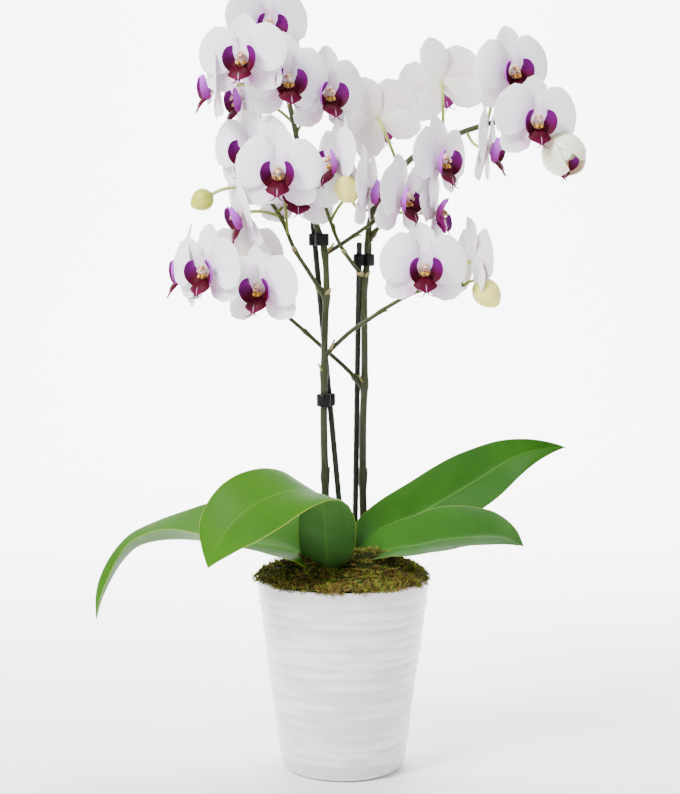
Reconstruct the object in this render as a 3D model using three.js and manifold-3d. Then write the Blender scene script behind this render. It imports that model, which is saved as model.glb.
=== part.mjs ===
// A potted moth orchid: two flower spikes with side branches, four strap leaves and a ceramic pot.
// Millimetres, +Z up. The pot stands on z = 0 with its axis on the Z axis, and +X is to the right
// of somebody who stands in front of the plant and looks along +Y.
// Every point of the plant is given as [x, y, height above the pot's rim].
import * as THREE from 'three';
import { mergeVertices } from 'three/addons/utils/BufferGeometryUtils.js';
import Module from 'manifold-3d';

const wasm = await Module();
wasm.setup();
const { Manifold } = wasm;

// ---- Driving dimensions ----

const clearance = 0.4; // gap between pieces that touch in the real plant
const smallestDetail = 0.04; // shorter edges, which the cuts leave, are taken out

const potHeight = 145;
const potRimRadius = 65;
const potBaseRadius = 46;
const potWall = 5;
const potFloor = 7;
const potFootRound = 8; // rounding where the side meets the base
const potSides = 32;

const mediumDrop = 12; // from the rim down to the top of the bark
const mossPeak = 20; // from the rim up to the top of the moss

const crownRadius = 9;
const crownTop = 12;
const crownDepth = 45;
const rootRadius = 2.6;
const rootCount = 5;

const spikeRadius = 3.1; // at the foot of a flower spike
const spikeTipRadius = 1.9;
const branchRadius = 1.7;
const branchTipRadius = 1.3;
const pedicelRadius = 1.3; // the stalk of one flower

const stakeRadius = 2.1;
const stakeDepth = 85; // below the rim
const clipHeight = 9;
const clipWall = 2;

const leafThickness = 2.4;

const petalLength = 32;
const petalWidth = 37;
const sepalLength = 33;
const sepalWidth = 22;
const tepalThickness = 1.2;
const petalRise = 18; // degrees above the horizontal
const sideSepalFall = 40; // degrees below the horizontal
const lipLength = 20;
const lipWidth = 21;
const columnLength = 9;


// ---- Colours, roughness and metalness ----

const finishes = {
  pot: { color: 0xe4dedb, roughness: 0.3 },
  bark: { color: 0x5a3c26, roughness: 0.9 },
  moss: { color: 0x6c6a33, roughness: 0.95 },
  crown: { color: 0x6d7f3a, roughness: 0.6 },
  leaf: { color: 0x5f8f35, roughness: 0.4 },
  stem: { color: 0x3d4427, roughness: 0.5 },
  black: { color: 0x17181a, roughness: 0.55 },
  flower: { color: 0xf3eff6, roughness: 0.6 },
  bud: { color: 0xd9dfa8, roughness: 0.55 },
};

// ---- Helpers ----

const radians = THREE.MathUtils.degToRad;
const vector = (point) => new THREE.Vector3(...point);
const aboveRim = (point) => new THREE.Vector3(point[0], point[1], potHeight + point[2]);

// A closed geometry becomes a solid once its copies of shared vertices are merged.
function toSolid(geometry) {
  geometry.deleteAttribute('normal');
  geometry.deleteAttribute('uv');
  const merged = mergeVertices(geometry, 1e-4);
  return new Manifold(new wasm.Mesh({
    numProp: 3,
    vertProperties: merged.attributes.position.array,
    triVerts: Uint32Array.from(merged.index.array),
  }));
}

function toGeometry(solid) {
  const mesh = solid.getMesh();
  const geometry = new THREE.BufferGeometry();
  geometry.setAttribute('position', new THREE.BufferAttribute(mesh.vertProperties, 3));
  geometry.setIndex(new THREE.BufferAttribute(mesh.triVerts, 1));
  geometry.computeVertexNormals();
  return geometry;
}

function moveVertices(geometry, place) {
  const position = geometry.attributes.position;
  const vertex = new THREE.Vector3();
  for (let i = 0; i < position.count; i += 1) {
    vertex.fromBufferAttribute(position, i);
    vertex.copy(place(vertex));
    position.setXYZ(i, vertex.x, vertex.y, vertex.z);
  }
  return geometry;
}

// A round tube along a curve, from one radius to another. grow makes it larger all over.
function tube(curve, startRadius, endRadius, { sides = 6, steps = 8, grow = 0 } = {}) {
  const frames = curve.computeFrenetFrames(steps, false);
  const cylinder = new THREE.CylinderGeometry(1, 1, 1, sides, steps);
  return toSolid(moveVertices(cylinder, (vertex) => {
    const step = Math.round((0.5 - vertex.y) * steps);
    const share = step / steps;
    const radius = THREE.MathUtils.lerp(startRadius, endRadius, share) + grow;
    const end = step === 0 ? -grow : step === steps ? grow : 0;
    return curve.getPointAt(share)
      .addScaledVector(frames.tangents[step], end)
      .addScaledVector(frames.normals[step], vertex.x * radius)
      .addScaledVector(frames.binormals[step], vertex.z * radius);
  }));
}

// A value on a smooth curve between evenly spaced ones, which keeps the first and the last.
function splineAt(values, share) {
  const last = values.length - 1;
  const index = Math.min(Math.floor(share * last), last - 1);
  const t = share * last - index;
  const before = index > 0 ? values[index - 1] : 2 * values[0] - values[1];
  const after = index + 2 > last ? 2 * values[last] - values[last - 1] : values[index + 2];
  return (before * (1 - t) ** 3 + values[index] * (3 * t ** 3 - 6 * t ** 2 + 4)
    + values[index + 1] * (1 + 3 * t + 3 * t ** 2 - 3 * t ** 3) + after * t ** 3) / 6;
}

// The way a blade's upper side looks, from vectors that are spaced evenly along it.
function faceAt(faces, share) {
  if (faces.length === 1) return vector(faces[0]);
  return vector([0, 1, 2].map((axis) => splineAt(faces.map((face) => face[axis]), share)));
}

// A leaf, petal or bud: a body that runs along a curve, comes to a point at both ends and has a
// width that follows a profile. Its faces say which way its upper side looks. A section with
// four sides is a flat rectangle, and one with more is an ellipse.
function blade(curve, { width, thickness, profile, faces, sides = 4, steps = 6, grow = 0 }) {
  const flat = sides === 4;
  const sphere = new THREE.SphereGeometry(1, sides, steps, flat ? Math.PI / 4 : 0);
  const corner = flat ? Math.SQRT2 : 1;
  return toSolid(moveVertices(sphere, (vertex) => {
    const share = Math.acos(THREE.MathUtils.clamp(vertex.y, -1, 1)) / Math.PI;
    const ring = Math.hypot(vertex.x, vertex.z);
    const tangent = curve.getTangentAt(share);
    const point = curve.getPointAt(share);
    if (ring < 1e-6) return point.addScaledVector(tangent, share < 0.5 ? -grow : grow);
    const face = faceAt(faces, share);
    const across = face.clone().cross(tangent).normalize();
    const normal = tangent.clone().cross(across);
    const halfWidth = profile(share) * width / 2 + grow;
    return point
      .addScaledVector(across, vertex.x / ring * corner * halfWidth)
      .addScaledVector(normal, vertex.z / ring * corner * (thickness / 2 + grow));
  }));
}

const smoothCurve = (points) => new THREE.CatmullRomCurve3(points, false, 'centripetal');
const petalProfile = (share) => Math.sin(Math.PI * share ** 1.1) ** 0.8;
const sepalProfile = (share) => Math.sin(Math.PI * share) ** 0.7;

// Each piece is a solid and its envelope, which is the same shape grown by the clearance.
const pieces = new Map();

function boxesMeet(a, b) {
  const first = a.boundingBox();
  const second = b.boundingBox();
  return [0, 1, 2].every((i) => first.min[i] < second.max[i] && second.min[i] < first.max[i]);
}

// Keeps the clearance to pieces that are there already: what they would share is cut away.
function cutClear(solid, others) {
  let result = solid;
  for (const name of others) {
    const { envelope } = pieces.get(name);
    if (boxesMeet(result, envelope)) result = result.subtract(envelope);
  }
  const bodies = result.simplify(smallestDetail).decompose();
  return bodies.reduce((largest, body) => (body.volume() > largest.volume() ? body : largest));
}

// make(grow) returns the piece's solid, grown by that much. clearOf lists the pieces it is cut to.
function addPiece(name, finish, origin, make, clearOf = []) {
  const solid = cutClear(make(0), clearOf);
  pieces.set(name, { solid, envelope: make(clearance), finish, origin });
}

const namesStarting = (...starts) => [...pieces.keys()]
  .filter((name) => starts.some((start) => name.startsWith(start)));

// ---- Pot, bark and moss ----

const potSlope = (potRimRadius - potBaseRadius) / potHeight;
const potOuterRadius = (z) => potBaseRadius + potSlope * z;
const potInnerRadius = (z) => potOuterRadius(z) - potWall;
const potProfilePoint = (radius, z) => new THREE.Vector2(radius, z);

function latheSolid(points) {
  const lathe = new THREE.LatheGeometry(points, potSides);
  lathe.rotateX(Math.PI / 2);
  return toSolid(lathe);
}

function makePot() {
  const profile = [potProfilePoint(0, 0)];
  for (const angle of [-90, -60, -30, 0]) {
    profile.push(potProfilePoint(
      potOuterRadius(potFootRound) - potFootRound * (1 - Math.cos(radians(angle))),
      potFootRound * (1 + Math.sin(radians(angle))),
    ));
  }
  const lip = potWall / 2;
  profile.push(potProfilePoint(potOuterRadius(potHeight - lip), potHeight - lip));
  profile.push(potProfilePoint(potOuterRadius(potHeight) - lip * 0.6, potHeight));
  profile.push(potProfilePoint(potInnerRadius(potHeight) + lip * 0.6, potHeight));
  profile.push(potProfilePoint(potInnerRadius(potHeight - lip), potHeight - lip));
  profile.push(potProfilePoint(potInnerRadius(potFloor), potFloor));
  profile.push(potProfilePoint(0, potFloor));
  return latheSolid(profile);
}

function makeBark(grow) {
  const top = potHeight - mediumDrop;
  const bottom = potFloor + clearance;
  const fit = clearance - grow;
  return latheSolid([
    potProfilePoint(0, bottom - grow),
    potProfilePoint(potInnerRadius(bottom) - fit, bottom - grow),
    potProfilePoint(potInnerRadius(top) - fit, top + grow),
    potProfilePoint(0, top + grow),
  ]);
}

function makeMoss(grow) {
  const bottom = potHeight - mediumDrop + clearance;
  const rim = potInnerRadius(potHeight) - clearance;
  return latheSolid([
    potProfilePoint(0, bottom - grow),
    potProfilePoint(potInnerRadius(bottom) - clearance + grow, bottom - grow),
    potProfilePoint(rim + grow, potHeight + mossPeak * 0.05),
    potProfilePoint(rim * 0.93 + grow, potHeight + mossPeak * 0.42),
    potProfilePoint(rim * 0.72, potHeight + mossPeak * 0.78 + grow),
    potProfilePoint(rim * 0.4, potHeight + mossPeak * 0.95 + grow),
    potProfilePoint(0, potHeight + mossPeak + grow),
  ]);
}

// ---- Crown with its roots ----

const crownCentre = [-4, 3];

function makeCrown(grow) {
  const [x, y] = crownCentre;
  const axis = smoothCurve([aboveRim([x, y, -crownDepth]), aboveRim([x, y, crownTop])]);
  let crown = tube(axis, crownRadius * 0.8, crownRadius * 0.75, { sides: 8, steps: 1, grow });
  for (let i = 0; i < rootCount; i += 1) {
    const angle = ((i - 0.5) / rootCount) * 2 * Math.PI;
    const reach = (radius, depth) => aboveRim([
      x + radius * Math.cos(angle + depth / 90),
      y + radius * Math.sin(angle + depth / 90),
      -depth,
    ]);
    const route = smoothCurve([reach(1, 35), reach(20, 48), reach(28, 75), reach(22, 105)]);
    crown = crown.add(tube(route, rootRadius, rootRadius * 0.7, { sides: 4, steps: 4, grow }));
  }
  return crown;
}

// ---- Flower spikes and branches ----

const spikes = {
  spike_left: [[-5, -2, -20], [-12, -7, 0], [-14, -11, 28], [-13, -12, 63], [-14, -12, 107],
    [-14, -12, 145], [-13, -12, 190], [-12, -12, 215], [-14, -12, 245], [-19, -12, 260],
    [-28, -12, 293], [-36, -12, 336], [-45, -12, 371]],
  spike_right: [[-3, 5, -20], [8, 22, 0], [15, 25, 28], [15, 20, 63], [15, 11, 113],
    [16, 8, 145], [16, 6, 174], [16, 6, 219], [18, 6, 234], [20, 6, 264], [31, 5, 286],
    [50, 1, 309], [73, 0, 322], [96, 0, 331], [114, 0, 335], [130, -1, 329], [148, -4, 321]],
};

// Each branch starts on the axis of the spike that carries it.
const branches = {
  branch_left_upper: [[-12.5, -12, 207], [-25, -15, 227], [-35, -18, 243], [-45, -17, 266],
    [-58, -14, 285]],
  branch_left_crossing: [[-14, -12, 239], [-1, -14, 247], [18, -15, 260], [27, -14, 266],
    [34, -13, 270]],
  branch_right_crossing: [[16, 6, 222], [6, -8, 234], [-3, -18, 248], [-9, -19, 263],
    [-13, -18, 275]],
  branch_left_lower: [[-14, -12, 165], [6, -17, 184], [18, -19, 192], [33, -19, 202],
    [52, -18, 212], [72, -14, 218], [88, -13, 217]],
  branch_right_lower: [[16, 8, 139], [6, 8, 151], [-9, 8, 165], [-17, 7, 172], [-29, 5, 183],
    [-50, 4, 200], [-72, 2, 211], [-90, 1, 214]],
  branch_right_upper: [[20, 6, 250], [27, 0, 260], [34, -6, 267]],
};

function makeSpike(points, grow) {
  const curve = smoothCurve(points.map(aboveRim));
  return tube(curve, spikeRadius, spikeTipRadius, { sides: 6, steps: 16, grow });
}

function makeBranch(points, grow) {
  const curve = smoothCurve(points.map(aboveRim));
  return tube(curve, branchRadius, branchTipRadius, { sides: 5, steps: 7, grow });
}

// ---- Stakes and the clips that tie a spike to its stake ----

const stakes = {
  stake_left: { low: [2, -8, 5], high: [-22, -5, 263] },
  stake_right: { low: [9, 30, 5], high: [12, 2, 248] },
};

const stakeAt = ({ low, high }, height) => vector(low)
  .lerp(vector(high), (height - low[2]) / (high[2] - low[2])).toArray();

function makeStake(stake, grow) {
  const line = new THREE.LineCurve3(aboveRim(stakeAt(stake, -stakeDepth)), aboveRim(stake.high));
  return tube(line, stakeRadius, stakeRadius, { sides: 8, steps: 1, grow });
}

const clips = {
  clip_left_low: { spike: 'spike_left', stake: 'stake_left', height: 133 },
  clip_left_high: { spike: 'spike_left', stake: 'stake_left', height: 250 },
  clip_right: { spike: 'spike_right', stake: 'stake_right', height: 235 },
};

// The point where a spike passes a height, found by halving.
function spikeAt(name, height) {
  const curve = smoothCurve(spikes[name].map(vector));
  let low = 0;
  let high = 1;
  for (let i = 0; i < 30; i += 1) {
    const middle = (low + high) / 2;
    if (curve.getPointAt(middle).z < height) low = middle;
    else high = middle;
  }
  return curve.getPointAt(low).toArray();
}

function makeClip({ spike, stake, height }, grow) {
  const from = spikeAt(spike, height);
  const to = stakeAt(stakes[stake], height);
  const heading = Math.atan2(to[1] - from[1], to[0] - from[0]);
  const outline = new THREE.Shape();
  const quarter = Math.PI / 2;
  const spikeRound = spikeRadius + clipWall + grow;
  const stakeRound = stakeRadius + clipWall + grow;
  outline.absarc(from[0], from[1], spikeRound, heading + quarter, heading + 3 * quarter);
  outline.absarc(to[0], to[1], stakeRound, heading - quarter, heading + quarter);
  const block = new THREE.ExtrudeGeometry(outline, {
    depth: clipHeight + 2 * grow, bevelEnabled: false, curveSegments: 4,
  });
  block.translate(0, 0, potHeight + height - clipHeight / 2 - grow);
  return toSolid(block);
}

// ---- Leaves ----

// line runs up the middle of a leaf, widths are its half widths at even steps along it, and faces
// say which way its upper side looks at even steps.
const leaves = {
  leaf_front_left: {
    line: [[-6, 2, -8], [-10, -13, 2], [-12, -18, 19], [-12, -25, 38], [-13, -34, 56],
      [-17, -43, 68], [-27, -50, 72], [-40, -56, 72], [-54, -61, 68], [-69, -66, 60],
      [-82, -70, 47], [-90, -74, 33], [-95, -77, 21]],
    widths: [6, 15, 21, 22, 22, 24, 28, 31, 30, 23, 0],
    faces: [[0, 0.88, 0.35], [0, 0.86, 0.5], [0, 0.85, 0.53], [0.24, 0.76, 0.58],
      [0.49, 0.56, 0.61], [0.31, -0.05, 0.89], [0.09, -0.47, 0.83], [-0.11, -0.6, 0.69],
      [-0.27, -0.62, 0.56], [-0.41, -0.62, 0.47], [-0.55, -0.59, 0.38]],
  },
  leaf_far_left: {
    line: [[-6, 3, -4], [-18, 0, 10], [-34, -3, 22], [-59, -7, 29], [-76, -10, 32],
      [-93, -12, 35], [-110, -14, 36], [-125, -16, 36], [-140, -19, 34], [-153, -21, 29],
      [-163, -23, 19], [-172, -25, 4], [-178, -27, -11], [-181, -28, -27]],
    widths: [9, 26, 34, 39, 34, 24, 15, 12, 0],
    faces: [[0, -0.38, 0.92], [0, -0.38, 0.92], [0, -0.38, 0.92], [0, -0.33, 0.93],
      [-0.1, -0.2, 0.95], [-0.2, 0.05, 0.95], [-0.7, -0.05, 0.65], [-0.9, -0.35, 0.3],
      [-0.9, -0.45, 0.15]],
  },
  leaf_upper_right: {
    line: [[-4, 3, -4], [10, 4, 12], [26, 8, 28], [42, 14, 37], [62, 22, 46], [83, 29, 57],
      [105, 35, 69], [126, 40, 81], [143, 44, 87], [161, 47, 90], [172, 49, 90]],
    widths: [10, 17, 23, 25, 27, 27, 20, 10, 0],
    faces: [[-0.35, -0.7, 0.62], [-0.35, -0.85, 0.4]],
  },
  leaf_lower_right: {
    line: [[-4, 3, -8], [8, 0, 8], [22, -4, 19], [39, -10, 25], [54, -17, 29], [71, -24, 34],
      [91, -31, 37], [105, -37, 38], [119, -42, 36], [130, -46, 31]],
    widths: [9, 15, 21, 26, 30, 31, 29, 20, 0],
    faces: [[0, -0.4, 0.91], [0.05, -0.42, 0.9]],
  },
};

function makeLeaf({ line, widths, faces }, grow) {
  return blade(smoothCurve(line.map(aboveRim)), {
    width: 2, thickness: leafThickness, profile: (share) => splineAt(widths, share), faces,
    steps: 18, grow,
  });
}

// ---- Flowers ----
// A flower is made at the origin: it faces -Y and its top sepal points up. turn is its yaw to the
// right, its pitch up and its roll, in degrees. root is where its stalk meets the stem.

const flowers = [
  { at: [-70, -45, 377], turn: [-12, 5, 0], root: [-42, -12, 360] },
  { at: [-40, -34, 363], turn: [20, 0, 0], root: [-38, -12, 343] },
  { at: [-12, -18, 355], turn: [35, 0, 0], root: [-34, -12, 325] },
  { at: [-92, -20, 360], turn: [-80, 0, 0], root: [-43, -12, 364] },
  { at: [-55, -8, 404], turn: [25, 0, 0], root: [-45, -12, 370] },
  { at: [-72, -5, 352], turn: [-70, 0, 0], root: [-36, -12, 334] },
  { at: [-45, -50, 298], turn: [-5, 0, 0], root: [-40, -18, 254] },
  { at: [-66, -25, 314], turn: [-30, 0, 0], root: [-57, -14, 284] },
  { at: [-72, -21, 269], turn: [-75, -15, 0], root: [-46, -17, 267] },
  { at: [-4, -20, 307], turn: [-62, 0, 0], root: [-13, -18, 274] },
  { at: [18, -15, 286], turn: [75, 0, 0], root: [-9, -19, 263] },
  { at: [-97, -35, 229], turn: [-35, 0, 0], root: [-85, 1, 213] },
  { at: [-59, -28, 216], turn: [-25, 0, 0], root: [-50, 4, 200] },
  { at: [-115, -5, 228], turn: [-80, 0, 0], root: [-90, 1, 214] },
  { at: [-73, 2, 236], turn: [160, 0, 0], root: [-66, 2, 209] },
  { at: [26, 10, 338], turn: [180, 0, -25], root: [42, 3, 300] },
  { at: [72, 12, 364], turn: [180, 0, -20], root: [73, 0, 322] },
  { at: [122, -5, 372], turn: [25, 0, 10], root: [105, 0, 334] },
  { at: [137, -28, 335], turn: [15, 0, 0], root: [130, -1, 329] },
  { at: [104, -12, 316], turn: [75, 0, 0], root: [90, 0, 329] },
  { at: [69, -25, 307], turn: [50, 0, 0], root: [60, 1, 315] },
  { at: [42, -30, 280], turn: [55, 0, 0], root: [34, -6, 267] },
  { at: [66, -15, 269], turn: [75, 0, -55], root: [34, -13, 270] },
  { at: [57, -40, 231], turn: [8, 0, 0], root: [60, -17, 215] },
  { at: [94, -10, 234], turn: [110, 0, 0], root: [86, -13, 217] },
  { at: [-32, -18, 286], turn: [0, 0, 0], root: [-47, -17, 270] },
];

const stemNames = () => namesStarting('spike', 'branch', 'stake', 'clip');

function flowerMatrix({ at, turn }) {
  const [yaw, pitch, roll] = turn.map(radians);
  const turned = new THREE.Matrix4()
    .makeRotationFromEuler(new THREE.Euler(-pitch, -roll, yaw, 'ZXY'));
  return turned.setPosition(aboveRim(at));
}

// A petal or sepal that leaves the centre at an angle, lies a little behind it and bows forward.
function tepal(angle, length, width, behind, profile, grow) {
  const reach = (distance, y) => new THREE.Vector3(
    distance * Math.cos(radians(angle)), y, distance * Math.sin(radians(angle)),
  );
  const curve = smoothCurve([reach(0, 0), reach(length * 0.5, behind), reach(length, behind * 0.6)]);
  return blade(curve, {
    width, thickness: tepalThickness, profile, faces: [[0, -1, 0]], steps: 5, grow,
  });
}

function makeFlowerHead(grow) {
  const petals = [petalRise, 180 - petalRise]
    .map((angle) => tepal(angle, petalLength, petalWidth, -1, petalProfile, grow));
  const sepals = [90, -sideSepalFall, 180 + sideSepalFall]
    .map((angle) => tepal(angle, sepalLength, sepalWidth, 3, sepalProfile, grow));
  const lipLine = smoothCurve([vector([0, 0, -1]), vector([0, -lipLength * 0.55, -lipLength * 0.3]),
    vector([0, -lipLength * 0.7, -lipLength])]);
  const lip = blade(lipLine, {
    width: lipWidth, thickness: 5, profile: sepalProfile, faces: [[0, 0, 1], [0, -1, 0]],
    steps: 3, grow,
  });
  const columnLine = smoothCurve([vector([0, 1, 1]), vector([0, -columnLength, 0])]);
  const column = blade(columnLine, {
    width: 6, thickness: 6, profile: sepalProfile, faces: [[0, 0, 1]], steps: 3, grow,
  });
  return Manifold.union([...petals, ...sepals, lip, column]);
}

// The stalk leaves the stem towards the flower and comes to the flower's back.
function stalkCurve(root, centre, back) {
  const start = aboveRim(root);
  const distance = start.distanceTo(centre);
  const behind = centre.clone().addScaledVector(back, distance * 0.45);
  const outward = behind.clone().sub(start).multiplyScalar(0.4);
  return new THREE.CubicBezierCurve3(start, start.clone().add(outward), behind, centre);
}

const backOf = (matrix) => new THREE.Vector3(0, 1, 0).transformDirection(matrix);

const flowerHead = { 0: makeFlowerHead(0), [clearance]: makeFlowerHead(clearance) };

function makeFlower(flower, grow) {
  const matrix = flowerMatrix(flower);
  const centre = aboveRim(flower.at);
  const stalk = tube(stalkCurve(flower.root, centre, backOf(matrix)), pedicelRadius * 0.9,
    pedicelRadius, { sides: 4, steps: 4, grow });
  return flowerHead[grow].transform(matrix.elements).add(stalk);
}

// ---- Buds ----

// A bud runs from at to tip, and is wide millimetres wide.
const buds = {
  flower_half_open: {
    at: [150, -12, 319], tip: [168, -34, 301], root: [148, -4, 321], wide: 29,
  },
  bud_left: { at: [-94, -20, 283], tip: [-109, -24, 274], root: [-58, -14, 285], wide: 16 },
  bud_middle: { at: [6, -24, 279], tip: [0, -40, 294], root: [20, 6, 272], wide: 19 },
  bud_right: { at: [97, -18, 220], tip: [111, -31, 203], root: [88, -13, 217], wide: 19 },
};

function makeBud({ at, tip, root, wide }, grow) {
  const base = aboveRim(at);
  const end = aboveRim(tip);
  const heading = end.clone().sub(base).normalize();
  const body = blade(smoothCurve([base, end]), {
    width: wide, thickness: wide * 0.9, profile: sepalProfile, faces: [[0, -1, 0.2]], sides: 6,
    steps: 5, grow,
  });
  const inside = base.clone().lerp(end, 0.3);
  const stalk = tube(stalkCurve(root, inside, heading.clone().negate()), pedicelRadius * 0.9,
    pedicelRadius, { sides: 4, steps: 4, grow });
  return body.add(stalk);
}

// ---- Assembly ----

const plantFoot = [...crownCentre, 0];

addPiece('pot', 'pot', [0, 0, -potHeight], makePot);
addPiece('crown', 'crown', plantFoot, makeCrown);
for (const [name, points] of Object.entries(spikes)) {
  addPiece(name, 'stem', points[0], (grow) => makeSpike(points, grow), ['crown']);
}
for (const [name, stake] of Object.entries(stakes)) {
  addPiece(name, 'black', stake.low, (grow) => makeStake(stake, grow), ['crown', ...Object.keys(spikes)]);
}
for (const [name, clip] of Object.entries(clips)) {
  addPiece(name, 'black', [0, 0, clip.height], (grow) => makeClip(clip, grow), stemNames());
}
for (const [name, points] of Object.entries(branches)) {
  addPiece(name, 'stem', points[0], (grow) => makeBranch(points, grow), stemNames());
}
for (const [name, leaf] of Object.entries(leaves)) {
  addPiece(name, 'leaf', leaf.line[0], (grow) => makeLeaf(leaf, grow),
    ['crown', ...stemNames(), ...namesStarting('leaf')]);
}
flowers.forEach((flower, index) => {
  const name = `flower_${String(index + 1).padStart(2, '0')}`;
  addPiece(name, 'flower', flower.at, (grow) => makeFlower(flower, grow),
    [...stemNames(), ...namesStarting('flower')]);
});
for (const [name, bud] of Object.entries(buds)) {
  addPiece(name, 'bud', bud.at, (grow) => makeBud(bud, grow),
    [...stemNames(), ...namesStarting('flower', 'bud')]);
}
const plantNames = () => ['crown', ...stemNames(), ...namesStarting('leaf')];
addPiece('growing_medium', 'bark', plantFoot, makeBark, plantNames());
addPiece('moss', 'moss', plantFoot, makeMoss, plantNames());

const pottedOrchid = new THREE.Group();
for (const [name, { solid, finish, origin }] of pieces) {
  const place = aboveRim(origin);
  const geometry = toGeometry(solid).translate(-place.x, -place.y, -place.z);
  const material = new THREE.MeshStandardMaterial({ ...finishes[finish], metalness: 0 });
  const mesh = new THREE.Mesh(geometry, material);
  mesh.name = name;
  mesh.position.copy(place);
  pottedOrchid.add(mesh);
}

export default pottedOrchid;
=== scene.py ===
"""The looks of a potted moth orchid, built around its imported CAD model.

The frame is in metres with +Z up. The pot stands on z = 0, its axis is the Z axis, and the plant
faces -Y. Points of the plant are written in millimetres as (x, y, height above the pot's rim).
"""

import math
import random

import bmesh
import bpy
from mathutils import Matrix, Vector, noise


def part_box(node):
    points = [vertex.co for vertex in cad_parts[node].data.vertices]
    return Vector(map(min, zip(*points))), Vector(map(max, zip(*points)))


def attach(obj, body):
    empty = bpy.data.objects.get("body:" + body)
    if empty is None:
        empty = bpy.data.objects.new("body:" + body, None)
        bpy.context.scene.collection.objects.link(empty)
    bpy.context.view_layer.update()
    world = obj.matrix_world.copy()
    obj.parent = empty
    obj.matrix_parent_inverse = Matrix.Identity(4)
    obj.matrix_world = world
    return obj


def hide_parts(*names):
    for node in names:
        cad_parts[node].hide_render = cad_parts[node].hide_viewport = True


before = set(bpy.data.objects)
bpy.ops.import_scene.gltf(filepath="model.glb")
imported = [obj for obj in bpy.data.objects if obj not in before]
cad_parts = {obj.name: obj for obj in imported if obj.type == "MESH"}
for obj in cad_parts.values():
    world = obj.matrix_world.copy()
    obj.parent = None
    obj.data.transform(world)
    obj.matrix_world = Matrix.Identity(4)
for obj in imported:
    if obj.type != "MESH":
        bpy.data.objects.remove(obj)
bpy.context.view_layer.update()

MM = 0.001
RIM_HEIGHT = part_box("pot")[1].z
POT_RIM_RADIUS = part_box("pot")[1].x
POT_BASE_RADIUS = 46 * MM
POT_WALL = 5 * MM
POT_FLOOR = 7 * MM

SPIKE_RADIUS = 3.1 * MM
SPIKE_TIP_RADIUS = 1.9 * MM
BRANCH_RADIUS = 1.7 * MM
BRANCH_TIP_RADIUS = 1.3 * MM
PEDICEL_RADIUS = 1.3 * MM
STAKE_RADIUS = 2.1 * MM
STAKE_DEPTH = 85  # millimetres below the rim
CLIP_HEIGHT = 9 * MM
CLIP_WALL = 2 * MM
LEAF_THICKNESS = 2.4 * MM
PETAL_LENGTH = 32 * MM
PETAL_WIDTH = 37 * MM
SEPAL_LENGTH = 33 * MM
SEPAL_WIDTH = 22 * MM
SIDE_SEPAL_WIDTH = SEPAL_WIDTH * 1.1
TEPAL_THICKNESS = 0.9 * MM
# How far the petals rise above level and the side sepals fall below it, in degrees.
PETAL_RISE = 18
SIDE_SEPAL_FALL = 40
# Corners that lie nearer than this are merged, in metres.
WELD = 1e-6
FINE_WELD = 1e-7

chance = random.Random(7)


# ---- Curves ----

def rim_point(point):
    x, y, height = point
    return Vector((x * MM, y * MM, RIM_HEIGHT + height * MM))


class Route:
    """A smooth curve through its points, followed by its share of length from 0 to 1."""

    def __init__(self, points, samples=24):
        points = [Vector(point) for point in points]
        first = points[0] * 2 - points[1]
        last = points[-1] * 2 - points[-2]
        padded = [first, *points, last]
        self.places = [points[0]]
        for i in range(len(points) - 1):
            before, start, end, after = padded[i:i + 4]
            self._add_stretch(before, start, end, after, samples)
        self.lengths = [0.0]
        for a, b in zip(self.places, self.places[1:]):
            self.lengths.append(self.lengths[-1] + (b - a).length)

    def _add_stretch(self, before, start, end, after, samples):
        step_before = (start - before).length ** 0.5
        step = (end - start).length ** 0.5
        step_after = (after - end).length ** 0.5
        leave = ((start - before) / step_before - (end - before) / (step_before + step)
                 + (end - start) / step) * step
        arrive = ((end - start) / step - (after - start) / (step + step_after)
                  + (after - end) / step_after) * step
        for k in range(1, samples + 1):
            t = k / samples
            self.places.append(
                start * (2 * t ** 3 - 3 * t ** 2 + 1) + leave * (t ** 3 - 2 * t ** 2 + t)
                + end * (3 * t ** 2 - 2 * t ** 3) + arrive * (t ** 3 - t ** 2))

    @property
    def length(self):
        return self.lengths[-1]

    def at(self, share):
        wanted = min(max(share, 0.0), 1.0) * self.length
        low, high = 0, len(self.lengths) - 1
        while high - low > 1:
            middle = (low + high) // 2
            if self.lengths[middle] <= wanted:
                low = middle
            else:
                high = middle
        span = self.lengths[high] - self.lengths[low]
        part = (wanted - self.lengths[low]) / span if span else 0.0
        return self.places[low].lerp(self.places[high], part)

    def heading(self, share):
        step = 0.01
        return (self.at(share + step) - self.at(share - step)).normalized()


def smooth_step(value, low, high):
    t = min(max((value - low) / (high - low), 0.0), 1.0)
    return t * t * (3 - 2 * t)


def blend_points(value, points):
    """A value read off a short list of (place, value) pairs, eased between them."""
    for (a, low), (b, high) in zip(points, points[1:]):
        if value <= b:
            return low + (high - low) * smooth_step(value, a, b)
    return points[-1][1]


def spline_at(values, share):
    """A smooth curve between evenly spaced values, which keeps the first and the last."""
    last = len(values) - 1
    index = min(int(share * last), last - 1)
    t = share * last - index
    before = values[index - 1] if index else values[0] * 2 - values[1]
    after = values[index + 2] if index + 2 <= last else values[last] * 2 - values[last - 1]
    return (before * (1 - t) ** 3 + values[index] * (3 * t ** 3 - 6 * t ** 2 + 4)
            + values[index + 1] * (1 + 3 * t + 3 * t ** 2 - 3 * t ** 3) + after * t ** 3) / 6


def eased(v):
    """Rows that lie closer together at both ends."""
    return 0.5 - 0.5 * math.cos(math.pi * v)


# ---- Mesh pieces ----

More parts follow.
